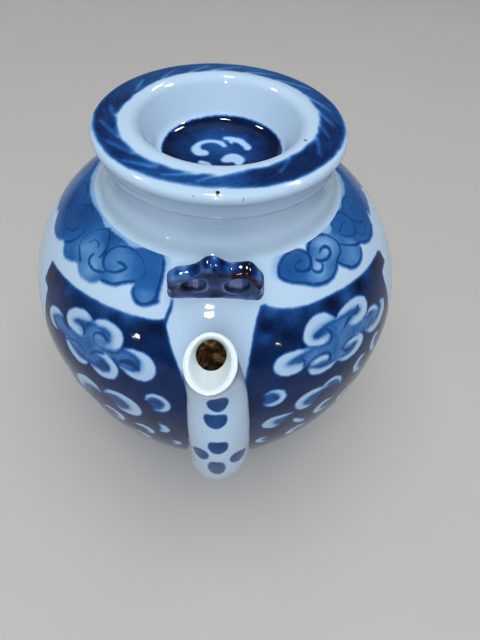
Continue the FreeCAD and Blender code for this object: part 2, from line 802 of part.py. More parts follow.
def main():
    fill_sheet()
    pieces = [
        make_lower_body(),
        make_upper_body(),
        make_neck_collar(),
        make_foot_ring(),
        make_lid_dish(),
        make_lid_flange(),
    ]
    pot_form = make_pot_form()
    pieces.append(seat_on_pot(make_spout_blank(), pot_form, "spout"))
    for label, turn in (("front_lug", 0), ("rear_lug", 180)):
        blank = make_lug_blank(label + "_blank", turn)
        pieces.append(seat_on_pot(blank, pot_form, label))
    doc.recompute()
    check(pieces)
    os.makedirs("parts", exist_ok=True)
    for piece in pieces:
        piece.Shape.exportStep(f"parts/{piece.Label}.step")
        print(f"{piece.Label}: {piece.Shape.Volume / 1000:.2f} cm3, {len(piece.Shape.Solids)} solid")


main()
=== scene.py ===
"""Porcelain teapot with a sunken lid, painted in cobalt under a clear bluish glaze.

Forms are drawn in millimetres and brought to metres when they are fired. The spout points to -Y.
"""

import math

import bmesh
import bpy
import numpy as np
from mathutils import Matrix, Vector, noise


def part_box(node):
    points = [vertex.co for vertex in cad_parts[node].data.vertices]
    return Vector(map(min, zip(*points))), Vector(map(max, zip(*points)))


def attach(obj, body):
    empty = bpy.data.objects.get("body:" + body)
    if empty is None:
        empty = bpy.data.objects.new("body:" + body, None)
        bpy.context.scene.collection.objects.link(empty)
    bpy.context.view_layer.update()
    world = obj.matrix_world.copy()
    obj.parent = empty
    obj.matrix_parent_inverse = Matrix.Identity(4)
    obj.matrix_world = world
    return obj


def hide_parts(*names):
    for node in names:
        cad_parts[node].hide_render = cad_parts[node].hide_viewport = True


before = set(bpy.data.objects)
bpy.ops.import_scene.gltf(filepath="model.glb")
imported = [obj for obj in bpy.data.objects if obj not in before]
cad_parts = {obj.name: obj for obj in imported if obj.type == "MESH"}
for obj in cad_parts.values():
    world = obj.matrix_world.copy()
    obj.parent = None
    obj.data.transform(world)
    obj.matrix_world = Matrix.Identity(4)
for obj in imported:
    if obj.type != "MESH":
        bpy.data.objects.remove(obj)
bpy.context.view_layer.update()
# The same small irregularities on each run
noise.seed_set(3)

MM = 0.001


def face_of(node, side, axis):
    """One face of a CAD node's box in millimetres; side 0 is the low one and 1 the high one."""
    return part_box(node)[side][axis] / MM


# Pot body
BELLY_RADIUS = face_of("lower_body", 1, 0)
BELLY_LINE = face_of("lower_body", 1, 2)
BASE = face_of("lower_body", 0, 2)
SHOULDER_TOP = face_of("upper_body", 1, 2)
WALL = 4.0
SIDE_ROUND = 84.0
HEEL_ROUND = 16.0
SHOULDER_LIP = 2.4
# Neck collar
COLLAR_FOOT = face_of("neck_collar", 1, 0)
SEAT = face_of("neck_collar", 1, 2)
NECK_BORE = 27.0
WAIST_RADIUS = 31.0
WAIST = SHOULDER_TOP + 6.3
RIM_RADIUS = 31.4
RIM_EDGE = 0.4
BORE_EDGE = 0.8
COLLAR_SKIRT = 1.1
SKIRT_SINK = 0.04
# How much of the neck's two curves is left by the skirt below and by the rim's edge above
FOOT_CURVE_LEFT = 0.88
RIM_CURVE_LEFT = 0.9
# Foot ring
FOOT_RADIUS = face_of("foot_ring", 1, 0)
FOOT_WIDTH = 5.0
FOOT_BEVEL = 1.0
# Lid
LIP_RADIUS = face_of("lid_dish", 1, 0)
WELL_UNDER = face_of("lid_dish", 0, 2)
LID_TOP = SEAT + 8.1
LIP_ROUND = 1.6
LID_SLOPE = math.radians(8.0)
WELL_FLOOR = LID_TOP - 9.9
WELL_FLOOR_RADIUS = 16.6
WELL_ROUND = 3.8
WELL_DISH = math.radians(9.7)
WELL_MOUTH = 24.5
WELL_EDGE = 3.5
WELL_UNDER_RADIUS = 20.6
WELL_UNDER_EDGE = 1.0
FLANGE_INNER = 23.0
FLANGE_RADIUS = face_of("lid_flange", 1, 0)
FLANGE_FOOT = face_of("lid_flange", 0, 2)
FLANGE_BEVEL = 1.0
FLANGE_EDGE = 0.5
# Spout: its mouth, the strainer behind its root, and its middle line by height
MOUTH = Vector((0.0, -BELLY_RADIUS - 3.7, BELLY_LINE + 37.1))
MOUTH_LEAN = math.radians(30.0)
STRAINER = Vector((1.97, -56.0, 39.27))
STRAINER_HOLE = 1.5
STRAINER_RING = 4.6
STRAINER_DEPTH = 16.0
SPOUT_HEIGHTS = (27.0, 37.0, 47.0, 60.0, 77.0, 88.0, 94.0)
SPOUT_OUTS = (-52.0, -55.0, -61.5, -65.0, -63.8, -63.6, -65.0)
SPOUT_LEAN = math.sin(math.radians(2.4))
SPOUT_UPRIGHT = BELLY_LINE + 30.0
# What the hand did to it: a wider lip, a slimmer stem pushed askew, and a lower elbow
MOUTH_WIDENING = 1.04
STEM_SLIMMING = 0.06
STEM_ASKEW = 0.9
ELBOW_DROP = 1.4
# Lugs: one eye's middle and size, how steeply the eyes point down, and how uneven the clay is
LUG_EYE = Vector((5.0, 41.24, 92.47))
LUG_EYE_RADIUS = 2.9
LUG_TILT = math.radians(16.0)
LUG_UNEVEN = 0.22
# Slip round a luted foot: how far it runs out, and how high up and how far the foot is pressed in
SLIP_SPREAD = 0.8
SLIP_HEIGHT = 0.35
SLIP_PRESS = 0.3
# Height on the skin, up from the widest line, from which the shoulder's clouds are drawn
CLOUD_FOOT = 29.0
# A first row this short holds the shading straight where two pieces meet
HOLD = 0.05
# Depth given to points that no brush came near, and the deepest that is told apart
UNPAINTED = -6.0
DEEPEST = 3.0
# The thinnest line that a brush draws, and further than any part of the pot reaches
HAIRLINE = 0.08
FAR = 200.0


def ease(amount, low, high):
    """Nought below low, one above high and a smooth slope between them."""
    share = np.clip((amount - low) / (high - low), 0, 1)
    return share * share * (3 - 2 * share)


def round_through(across, rise):
    """Radius of the arc that starts upright and ends that far in and that far up."""
    return (across**2 + rise**2) / (2 * across)


DOME_ROUND = round_through(BELLY_RADIUS - COLLAR_FOOT, SHOULDER_TOP - BELLY_LINE)
DOME_CENTRE = (BELLY_RADIUS - DOME_ROUND, BELLY_LINE)
DOME_TURN = math.atan2(SHOULDER_TOP - BELLY_LINE, COLLAR_FOOT - DOME_CENTRE[0])
SIDE_CENTRE = (BELLY_RADIUS - SIDE_ROUND, BELLY_LINE)
HEEL_UP = BASE + HEEL_ROUND
HEEL_CENTRE = (
    SIDE_CENTRE[0] + math.sqrt((SIDE_ROUND - HEEL_ROUND) ** 2 - (BELLY_LINE - HEEL_UP) ** 2),
    HEEL_UP,
)
SIDE_TURN = math.atan2(BELLY_LINE - HEEL_UP, HEEL_CENTRE[0] - SIDE_CENTRE[0])


class Section:
    """Half of a turned form, drawn from point to point and then thrown round the pot's axis."""

    def __init__(self, radius, height):
        self.form = bmesh.new()
        self.tip = self.form.verts.new((radius, 0.0, height))

    def line(self, radius, height, parts=1):
        step = (Vector((radius, 0.0, height)) - self.tip.co) / parts
        for _ in range(parts):
            self.tip = bmesh.ops.extrude_vert_indiv(self.form, verts=[self.tip])["verts"][0]
            bmesh.ops.translate(self.form, verts=[self.tip], vec=step)

    def arc(self, centre, turn, parts):
        """Swing the tip about a centre; a positive turn goes from outwards towards upwards."""
        made = bmesh.ops.spin(
            self.form,
            geom=[self.tip],
            cent=(centre[0], 0.0, centre[1]),
            axis=(0, -1, 0),
            angle=turn,
            steps=parts,
        )
        self.tip = made["geom_last"][0]

    def corner(self, at, to, radius, parts=5, run=1):
        """Run towards a corner and round it off on the way to the next point."""
        corner = Vector(at)
        ahead = (corner - self.tip.co.xz).normalized()
        after = (Vector(to) - corner).normalized()
        turn = math.atan2(ahead.cross(after), ahead.dot(after))
        cut = radius * math.tan(abs(turn) / 2)
        self.line(*(corner - ahead * cut), run)
        side = math.copysign(radius, turn)
        centre = self.tip.co.xz + Vector((-ahead.y, ahead.x)) * side
        self.arc(centre, turn, parts)

    def throw(self, columns):
        """The whole turned form: an eighth is spun and doubled three times, then closed."""
        eighth = math.pi / 4
        bmesh.ops.spin(
            self.form,
            geom=self.form.verts[:] + self.form.edges[:],
            cent=(0, 0, 0),
            axis=(0, 0, 1),
            angle=eighth,
            steps=columns // 8,
        )
        for turn in (eighth, 2 * eighth, 4 * eighth):
            whole = self.form.verts[:] + self.form.edges[:] + self.form.faces[:]
            copied = bmesh.ops.duplicate(self.form, geom=whole)["geom"]
            fresh = [part for part in copied if isinstance(part, bmesh.types.BMVert)]
            bmesh.ops.rotate(self.form, verts=fresh, cent=(0, 0, 0), matrix=Matrix.Rotation(turn, 3, "Z"))
        bmesh.ops.remove_doubles(self.form, verts=self.form.verts, dist=0.0005)
        bmesh.ops.recalc_face_normals(self.form, faces=self.form.faces)
        return self.form


def new_object(name, form):
    """A bmesh as an object of its own, freed afterwards."""
    mesh = bpy.data.meshes.new(name)
    form.to_mesh(mesh)
    form.free()
    piece = bpy.data.objects.new(name, mesh)
    bpy.context.scene.collection.objects.link(piece)
    return piece


def with_modifiers(piece):
    """The mesh of a piece after its modifiers, as a bmesh; the piece itself is removed."""
    shown = piece.evaluated_get(bpy.context.evaluated_depsgraph_get())
    form = bmesh.new()
    form.from_mesh(shown.to_mesh())
    bpy.data.objects.remove(piece)
    return form


def fire(form, node, body, finish, paint=None, crease=35.0):
    """Bring a form to metres, set it in the frame in place of its CAD node, and paint and glaze it."""
    bmesh.ops.scale(form, vec=(MM, MM, MM), verts=form.verts)
    piece = new_object("glazed_" + node, form)
    piece.data.shade_smooth()
    piece.data.set_sharp_from_angle(angle=math.radians(crease))
    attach(piece, body)
    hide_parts(node)
    if paint:
        paint(piece)
    piece.data.materials.append(finish)


# Turned pieces


def throw_upper_body():
    inside_across = BELLY_RADIUS - WALL - NECK_BORE
    inside_rise = SHOULDER_TOP - SHOULDER_LIP - BELLY_LINE
    inside_round = round_through(inside_across, inside_rise)
    inside_centre = (BELLY_RADIUS - WALL - inside_round, BELLY_LINE)
    inside_turn = math.atan2(inside_rise, NECK_BORE - inside_centre[0])
    section = Section(BELLY_RADIUS - WALL, BELLY_LINE)
    section.line(BELLY_RADIUS, BELLY_LINE)
    section.arc(DOME_CENTRE, HOLD / DOME_ROUND, 1)
    section.arc(DOME_CENTRE, (CLOUD_FOOT - HOLD) / DOME_ROUND, 50)
    section.arc(DOME_CENTRE, DOME_TURN - CLOUD_FOOT / DOME_ROUND, 52)
    section.line(NECK_BORE, SHOULDER_TOP)
    section.line(NECK_BORE, SHOULDER_TOP - SHOULDER_LIP)
    section.arc(inside_centre, HOLD / inside_round - inside_turn, 9)
    section.arc(inside_centre, -HOLD / inside_round, 1)
    return section.throw(840)


def throw_lower_body():
    section = Section(0.0, BASE)
    section.line(HEEL_CENTRE[0], BASE, 4)
    section.arc(HEEL_CENTRE, math.pi / 2 - SIDE_TURN, 14)
    section.arc(SIDE_CENTRE, SIDE_TURN - HOLD / SIDE_ROUND, 66)
    section.arc(SIDE_CENTRE, HOLD / SIDE_ROUND, 1)
    section.line(BELLY_RADIUS - WALL, BELLY_LINE)
    section.arc(SIDE_CENTRE, -HOLD / SIDE_ROUND, 1)
    section.arc(SIDE_CENTRE, HOLD / SIDE_ROUND - SIDE_TURN, 16)
    section.arc(HEEL_CENTRE, SIDE_TURN - math.pi / 2, 8)
    section.line(0.0, BASE + WALL, 3)
    return pierce_strainer(section.throw(720))


def pierce_strainer(form):
    """A middle hole and six round it, through the front wall behind the spout."""
    drill = bmesh.new()
    places = [STRAINER]
    for turn in range(6):
        angle = turn * math.pi / 3
        across = Vector((math.sin(angle), 0.0, math.cos(angle))) * STRAINER_RING
        places.append(STRAINER + across)
    for place in places:
        lie = Matrix.Translation(place) @ Matrix.Rotation(math.pi / 2, 4, "X")
        bmesh.ops.create_cone(
            drill,
            cap_ends=True,
            segments=24,
            radius1=STRAINER_HOLE,
            radius2=STRAINER_HOLE,
            depth=STRAINER_DEPTH,
            matrix=lie,
        )
    cutter = new_object("strainer_drill", drill)
    bowl = new_object("strainer_bowl", form)
    cut = bowl.modifiers.new("strainer", "BOOLEAN")
    cut.object = cutter
    cut.operation = "DIFFERENCE"
    cut.solver = "EXACT"
    pierced = with_modifiers(bowl)
    bpy.data.objects.remove(cutter)
    return pierced


def dome_height(radius):
    """Height of the shoulder's outside at a distance from the axis."""
    return DOME_CENTRE[1] + math.sqrt(DOME_ROUND**2 - (radius - DOME_CENTRE[0]) ** 2)


def throw_neck_collar():
    """The neck, with a thin skirt of glaze run down on to the shoulder."""
    foot_round = round_through(COLLAR_FOOT - WAIST_RADIUS, WAIST - SHOULDER_TOP)
    foot_turn = math.asin((WAIST - SHOULDER_TOP) / foot_round)
    rim_round = round_through(RIM_RADIUS - WAIST_RADIUS, SEAT - WAIST)
    rim_turn = math.asin((SEAT - WAIST) / rim_round)
    foot_centre = (WAIST_RADIUS + foot_round, WAIST)
    rim_centre = (WAIST_RADIUS + rim_round, WAIST)
    skirt = COLLAR_FOOT + COLLAR_SKIRT
    begin = FOOT_CURVE_LEFT * foot_turn
    first = (foot_centre[0] - foot_round * math.cos(begin), WAIST - foot_round * math.sin(begin))
    section = Section(NECK_BORE, SHOULDER_TOP)
    section.line(COLLAR_FOOT - 2, SHOULDER_TOP)
    section.line(skirt, dome_height(skirt) - SKIRT_SINK)
    section.line(*first, 4)
    section.arc(foot_centre, -begin, 14)
    section.arc(rim_centre, -RIM_CURVE_LEFT * rim_turn, 8)
    section.corner((RIM_RADIUS, SEAT), (NECK_BORE, SEAT), RIM_EDGE)
    section.corner((NECK_BORE, SEAT), (NECK_BORE, SHOULDER_TOP), BORE_EDGE, run=3)
    section.line(NECK_BORE, SHOULDER_TOP, 4)
    return section.throw(360)


def throw_foot_ring():
    inner = FOOT_RADIUS - FOOT_WIDTH
    section = Section(inner, BASE)
    section.line(FOOT_RADIUS, BASE)
    section.corner((FOOT_RADIUS, 0.0), (inner, 0.0), FOOT_BEVEL, run=4)
    section.corner((inner, 0.0), (inner, BASE), FOOT_BEVEL, run=4)
    section.line(inner, BASE, 4)
    return section.throw(360)


def throw_lid_dish():
    """The lid, from under its well out to the lip, over the top and down to the well's dished floor."""
    lip_across = LIP_RADIUS - LIP_ROUND
    lip_fall = (lip_across - WELL_MOUTH) * math.tan(LID_SLOPE)
    lip_up = LID_TOP - lip_fall - LIP_ROUND / math.cos(LID_SLOPE)
    side = RIM_RADIUS - lip_across
    rise = lip_up - SEAT
    hollow = (side**2 + rise**2 - LIP_ROUND**2) / (2 * (LIP_ROUND - side))
    turn = math.atan2(rise, side + hollow)
    edge_across = WELL_MOUTH - WELL_EDGE * math.sin(LID_SLOPE)
    edge_up = LID_TOP - WELL_EDGE * math.cos(LID_SLOPE)
    reach = math.hypot(edge_across - WELL_FLOOR_RADIUS, edge_up - WELL_FLOOR)
    slant = math.atan2(WELL_FLOOR - edge_up, WELL_FLOOR_RADIUS - edge_across)
    touch = slant + 2 * math.pi - math.acos(WELL_EDGE / reach)

    section = Section(0.0, WELL_UNDER)
    section.corner((WELL_UNDER_RADIUS, WELL_UNDER), (FLANGE_INNER, SEAT), WELL_UNDER_EDGE, run=6)
    section.line(FLANGE_INNER, SEAT, 5)
    section.line(RIM_RADIUS, SEAT, 4)
    section.arc((RIM_RADIUS + hollow, SEAT), -turn, 9)
    section.arc((lip_across, lip_up), math.pi / 2 - LID_SLOPE + turn, 16)
    section.line(WELL_MOUTH, LID_TOP, 34)
    section.arc((edge_across, edge_up), touch - (math.pi / 2 - LID_SLOPE), 9)
    ahead = (0.0, WELL_FLOOR - WELL_FLOOR_RADIUS * math.tan(WELL_DISH))
    section.corner((WELL_FLOOR_RADIUS, WELL_FLOOR), ahead, WELL_ROUND, run=7)
    bowl = section.tip.co.x / math.sin(WELL_DISH)
    section.arc((0.0, section.tip.co.z + bowl * math.cos(WELL_DISH)), -WELL_DISH, 34)
    return section.throw(640)


def throw_lid_flange():
    section = Section(FLANGE_INNER, SEAT)
    section.line(FLANGE_RADIUS, SEAT)
    section.corner((FLANGE_RADIUS, FLANGE_FOOT), (FLANGE_INNER, FLANGE_FOOT), FLANGE_BEVEL, run=6)
    section.corner((FLANGE_INNER, FLANGE_FOOT), (FLANGE_INNER, SEAT), FLANGE_EDGE, run=2)
    section.line(FLANGE_INNER, SEAT, 6)
    return section.throw(300)


# Pieces made by hand and luted on


def rub(form, verts, rounds):
    """Rub some points of a form smooth."""
    for _ in range(rounds):
        bmesh.ops.smooth_vert(
            form, verts=verts, factor=0.5, use_axis_x=True, use_axis_y=True, use_axis_z=True
        )


def soften(node, grain, rounds):
    """A luted piece in millimetres, with its edges rounded as glaze rounds them."""
    form = bmesh.new()
    form.from_mesh(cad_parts[node].data)
    bmesh.ops.scale(form, vec=(1 / MM, 1 / MM, 1 / MM), verts=form.verts)
    bmesh.ops.remove_doubles(form, verts=form.verts, dist=0.002)
    blank = new_object(node + "_blank", form)
    clay = blank.modifiers.new("clay", "REMESH")
    clay.mode = "VOXEL"
    clay.voxel_size = grain
    form = with_modifiers(blank)
    rub(form, form.verts, rounds)
    return form


def pot_side(point):
    """How far a point stands out from the pot's outside, and the way straight out from it there."""
    around = Vector((point.x, point.y, 0.0))
    radius = around.length
    centre = DOME_CENTRE if point.z >= BELLY_LINE else SIDE_CENTRE
    size = DOME_ROUND if point.z >= BELLY_LINE else SIDE_ROUND
    arm = Vector((radius - centre[0], point.z - centre[1]))
    outward = around.normalized() * arm.x + Vector((0.0, 0.0, arm.y))
    return arm.length - size, outward.normalized()


def lute(form, climb):
    """Run the foot of a luted piece out on to the pot in a small fillet of slip, and bed it in."""
    form.normal_update()
    moves = []
    for vert in form.verts:
        stand, outward = pot_side(vert.co)
        if stand > climb:
            continue
        along = vert.normal - outward * vert.normal.dot(outward)
        near = 1 - max(stand, 0.0) / climb
        move = along * SLIP_SPREAD * near**2
        if stand < SLIP_HEIGHT:
            move -= outward * (SLIP_HEIGHT - stand + SLIP_PRESS)
        moves.append((vert, move))
    for vert, move in moves:
        vert.co += move


def spout_line(height):
    """Middle of the spout at a height: how far it leans sideways, and how far out it stands."""
    return SPOUT_LEAN * (SPOUT_UPRIGHT - height), np.interp(height, SPOUT_HEIGHTS, SPOUT_OUTS)


def model_spout():
    """The spout, pulled a little askew, wider at its lip and slimmer below."""
    form = soften("spout", grain=0.3, rounds=6)
    for vert in form.verts:
        lean, _ = spout_line(vert.co.z)
        below = float(ease(BELLY_LINE + 35.0 - vert.co.z, 0.0, 12.0))
        width = MOUTH_WIDENING - STEM_SLIMMING * below
        askew = STEM_ASKEW * below * float(ease(vert.co.z, BELLY_LINE - 10.0, BELLY_LINE + 4.0))
        elbow = float(ease(BELLY_LINE + 10.0 - vert.co.z, 0.0, 8.0) * ease(-vert.co.y, 60.0, 68.0))
        vert.co.x = lean + (vert.co.x - lean) * width + askew
        vert.co.z -= ELBOW_DROP * elbow
    lute(form, climb=1.6)
    return form


# How far the top of a lug was drawn up or pressed down by the thumb, along its length
LUG_TOP = [
    (-11.3, -1.7), (-10.3, -1.8), (-9.3, -1.4), (-8, -1.2), (-6.3, -1), (-5, -0.6), (-4, 0), (-2.9, 0.5),
    (-1.7, 0.5), (0, 0.15), (1.1, -0.25), (1.9, -0.6), (3.1, -0.3), (4.7, 0.5), (6.1, 0.6), (7.3, 0.8),
    (8.4, 0.4), (9.6, -0.6), (10.7, -0.9), (11.3, -0.9),
]


def eye_way(facing):
    """The way that both eyes of a lug run, for a lug in front or behind."""
    return Vector((0.0, facing * math.cos(LUG_TILT), -math.sin(LUG_TILT)))


def true_eyes(form, facing):
    """Bring the walls of a lug's eyes back to round."""
    way = eye_way(facing)
    for vert in form.verts:
        side = math.copysign(1.0, vert.co.x)
        off = vert.co - Vector((side * LUG_EYE.x, facing * LUG_EYE.y, LUG_EYE.z))
        along = off.dot(way)
        spread = off - way * along
        astray = LUG_EYE_RADIUS - spread.length
        near = (1 - ease(abs(along), 1.0, 1.8)) * (1 - ease(abs(astray), 0.2, 0.4))
        vert.co += spread.normalized() * astray * float(near)


def model_lug(node):
    """A lug pinched out by hand: one end lower than the other, and a dab of clay beside the knob."""
    form = soften(node, grain=0.24, rounds=8)
    facing = math.copysign(1.0, face_of(node, 0, 1))
    true_eyes(form, facing)
    places, moves = np.array(LUG_TOP).T
    for vert in form.verts:
        across = vert.co.x * -facing
        share = max(0.0, min(1.0, (vert.co.z - SHOULDER_TOP + 3.5) / 8.5))
        wander = noise.noise_vector(vert.co * 0.3 + Vector((3.0, 7.0 * facing, 1.0))) * LUG_UNEVEN
        vert.co.z += share * float(np.interp(across, places, moves))
        vert.co += wander
    crest = [vert for vert in form.verts if vert.co.z > SHOULDER_TOP + 1.2]
    rub(form, form.verts, rounds=3)
    rub(form, crest, rounds=16)
    lute(form, climb=1.4)
    return form


# Brushwork: strokes are (degrees round from the spout, millimetres up from the widest line, half width)


class Skin:
    """Where the points of a painted piece lie: round it, up it, and whether they are on its outside."""

    def __init__(self, around, up, outside, girth):
        self.around = around
        self.up = up
        self.outside = outside
        self.girth = girth

    def near(self, line, spare):
        """Points round a line, as an index, and their place in millimetres with the line's own."""
        middle = line[:, 0].mean()
        scale = self.girth(line[:, 1].mean())
        along = ((self.around - middle + 180) % 360 - 180) * scale
        drawn = np.column_stack([(line[:, 0] - middle) * scale, line[:, 1]])
        low = drawn.min(axis=0) - spare
        high = drawn.max(axis=0) + spare
        close = (along > low[0]) & (along < high[0]) & (self.up > low[1]) & (self.up < high[1])
        index = np.nonzero(close & self.outside)[0]
        return index, np.column_stack([along[index], self.up[index]]), drawn


def flat(height):
    """The girth of a skin that is laid out flat, where a step round is a millimetre."""
    return 1.0


def read(piece, name):
    """One value in three parts for each point of a piece."""
    values = np.empty(3 * len(piece.data.vertices), np.float32)
    piece.data.vertices.foreach_get(name, values)
    return values.reshape(-1, 3)


def points_of(piece):
    """A piece's points, in millimetres."""
    return read(piece, "co").astype(float) / MM


def keep(piece, **amounts):
    """Store numbers for each point of a piece, under the names that its finish asks for."""
    for name, values in amounts.items():
        layer = piece.data.attributes.new(name, "FLOAT", "POINT")
        layer.data.foreach_set("value", np.asarray(values, np.float32))


def flowing(points, parts=6):
    """Given points joined into one smooth line."""
    knots = np.array(points, float)
    spine = np.vstack([2 * knots[0] - knots[1], knots, 2 * knots[-1] - knots[-2]])
    t = np.linspace(0, 1, parts, endpoint=False)[:, None]
    runs = []
    for a, b, c, d in zip(spine, spine[1:], spine[2:], spine[3:]):
        bend = (2 * a - 5 * b + 4 * c - d) * t**2 + (3 * b - a - 3 * c + d) * t**3
        runs.append(0.5 * (2 * b + (c - a) * t + bend))
    return np.vstack(runs + [knots[-1:]])


def from_segment(spots, start, end):
    """Distance of spots from a segment, and how far along it the nearest place lies."""
    way = end - start
    share = np.clip((spots - start) @ way / max(way @ way, 1e-9), 0, 1)
    return np.linalg.norm(spots - start - share[:, None] * way, axis=1), share


def laid(skin, strokes, spare):
    """Each stroke that comes near the skin: the points round it, their places, its line and half widths."""
    for stroke in strokes:
        line = flowing(stroke)
        index, spots, drawn = skin.near(line[:, :2], spare)
        if len(index):
            yield index, spots, drawn, np.maximum(line[:, 2], HAIRLINE)


def brushed(skin, strokes):
    """Depth in millimetres inside the nearest stroke: positive in the paint, negative beside it."""
    depth = np.full(len(skin.up), UNPAINTED)
    for index, spots, drawn, widths in laid(skin, strokes, spare=4.0):
        best = depth[index]
        for k in range(len(drawn) - 1):
            gap, share = from_segment(spots, drawn[k], drawn[k + 1])
            best = np.maximum(best, widths[k] + share * (widths[k + 1] - widths[k]) - gap)
        depth[index] = best
    return depth


def scrolled(skin, strokes):
    """Depth inside the nearest white scroll, and the blue that is left on its inner side and its ends."""
    depth = np.full(len(skin.up), UNPAINTED)
    blue = np.zeros(len(skin.up))
    for index, spots, drawn, widths in laid(skin, strokes, spare=3.0):
        ways = np.diff(drawn, axis=0)
        turning = ways[:-1, 0] * ways[1:, 1] - ways[:-1, 1] * ways[1:, 0]
        hand = math.copysign(1.0, turning.sum())
        best = depth[index]
        left = blue[index]
        for k, way in enumerate(ways):
            gap, share = from_segment(spots, drawn[k], drawn[k + 1])
            width = widths[k] + share * (widths[k + 1] - widths[k])
            off = spots - drawn[k]
            inner = hand * (way[0] * off[:, 1] - way[1] * off[:, 0]) / np.linalg.norm(way)
            along = np.abs(2 * (k + share) / len(ways) - 1)
            fade = 0.05 + 0.28 * ease(inner / width, -0.1, 1.3) + 0.20 * ease(along, 0.6, 1.0)
            closer = width - gap > best
            left = np.where(closer, fade, left)
            best = np.where(closer, width - gap, best)
        blue[index] = left
        depth[index] = best
    return depth, blue


def filled(skin, outlines):
    """Depth in millimetres inside the nearest of some closed outlines."""
    depth = np.full(len(skin.up), UNPAINTED)
    for outline in outlines:
        index, spots, drawn = skin.near(np.array(outline, float), spare=5.0)
        gap = np.full(len(index), FAR)
        inside = np.zeros(len(index), bool)
        for start, end in zip(drawn, np.roll(drawn, -1, axis=0)):
            gap = np.minimum(gap, from_segment(spots, start, end)[0])
            crosses = (start[1] > spots[:, 1]) != (end[1] > spots[:, 1])
            rise = end[1] - start[1] if end[1] != start[1] else 1e-9
            at = start[0] + (spots[:, 1] - start[1]) / rise * (end[0] - start[0])
            inside ^= crosses & (spots[:, 0] < at)
        depth[index] = np.maximum(depth[index], np.where(inside, gap, -gap))
    return depth


def all_round(left, right, left_about=-90.0, right_about=90.0):
    """Strokes of the front's left and right, and the same mirrored to the back about an angle each."""
    back = [(stroke, right_about) for stroke in right] + [(stroke, left_about) for stroke in left]
    mirrored = [[(2 * about - point[0], *point[1:]) for point in stroke] for stroke, about in back]
    return left + right + mirrored


# White scrolls left in the cobalt of the left and right panels
LEFT_SCROLLS = [
    [(-37.2, 22.9, 0.4), (-39, 22.9, 1.1), (-41, 22.7, 1.5), (-43.6, 21.6, 1.6), (-45.6, 19.6, 1.6),
     (-45, 18, 1.5), (-43, 17.8, 1.4), (-41, 18, 1.5), (-39.6, 18.3, 1.2)],
    [(-36.5, 22.8, 0.4), (-34.5, 23.6, 1), (-32, 24.2, 1.2), (-29, 23.6, 1.6), (-27.8, 22, 1.9),
     (-28.2, 20.2, 1.4), (-30.2, 18.9, 0.8)],
    [(-25.2, 20, 0.3), (-23.2, 20.3, 0.6), (-21, 20.2, 0.9), (-18.6, 19.2, 1.6), (-17.6, 16.8, 2.2),
     (-18.6, 14.6, 1.9), (-21, 13.6, 1.2), (-23.5, 14, 0.8), (-25.5, 14.6, 0.3)],
    [(-34, 14.6, 0.3), (-32, 15.2, 0.7), (-29.6, 14.8, 1.1), (-27.5, 12.8, 1.4), (-28.3, 10.4, 1.4),
     (-30.8, 8.9, 1.1), (-33.2, 9.2, 1), (-35, 9.9, 0.5)],
    [(-46, 12.2, 0.4), (-44.8, 10.6, 1.1), (-42.5, 9.2, 1.4), (-40, 8.5, 1.3), (-37.8, 9, 0.8),
     (-36.6, 10, 0.3)],
    [(-49, 17.2, 0.4), (-51.5, 16.9, 0.9), (-54, 15.6, 1.3), (-55.2, 13.6, 1.3), (-54.2, 11.9, 1.1),
     (-52.2, 11.2, 0.7), (-50.6, 11.6, 0.3)],
    [(-17.8, 6.2, 0.5), (-17, 7.9, 0.7), (-14.8, 8.5, 0.8), (-12.6, 7.4, 0.9), (-12, 5.4, 0.9),
     (-13.2, 3.4, 0.8), (-15.4, 2.7, 0.5)],
    [(-31.4, 0.8, 0.5), (-29.5, 2.6, 0.9), (-26.4, 3.3, 1.2), (-22.9, 2, 1.8), (-21.6, -0.6, 2),
     (-22.8, -3.2, 1.7), (-25.5, -4.2, 1.1), (-27.6, -3.4, 0.7)],
    [(-33.4, -0.6, 0.6), (-35.2, 1, 1.2), (-38.4, 0.6, 1.8), (-41.2, -1.6, 1.9), (-42.4, -4.6, 1.5),
     (-42, -7.4, 0.8)],
    [(-14.6, -5.2, 0.7), (-13.6, -7, 1.3), (-13.8, -9, 1.3), (-15.2, -10.4, 0.7)],
    [(-23.5, -11.5, 0.6), (-20.5, -10.8, 1.2), (-18.6, -12.6, 1.3), (-19.2, -15, 0.9)],
    [(-12.6, -16.6, 0.5), (-10.8, -18, 1.1), (-11.2, -20.2, 1), (-13, -21.4, 0.5)],
    [(-34.5, -10, 0.5), (-31.5, -8.6, 1.1), (-28.6, -10.2, 1.5), (-28.8, -13, 1.3), (-31.2, -14.2, 0.7)],
    [(-52, -2, 0.5), (-49.5, -4, 1.3), (-49.2, -7, 1.5), (-51.6, -9, 0.9)],
    [(-45, -13, 0.5), (-41.5, -12.6, 1.2), (-38.6, -15, 1.6), (-40, -18, 1.3), (-43, -18.6, 0.6)],
    [(-27, -20, 0.5), (-24, -19.4, 1.1), (-21.6, -21.4, 1.5), (-23, -24, 1.2), (-25.6, -24.4, 0.6)],
]
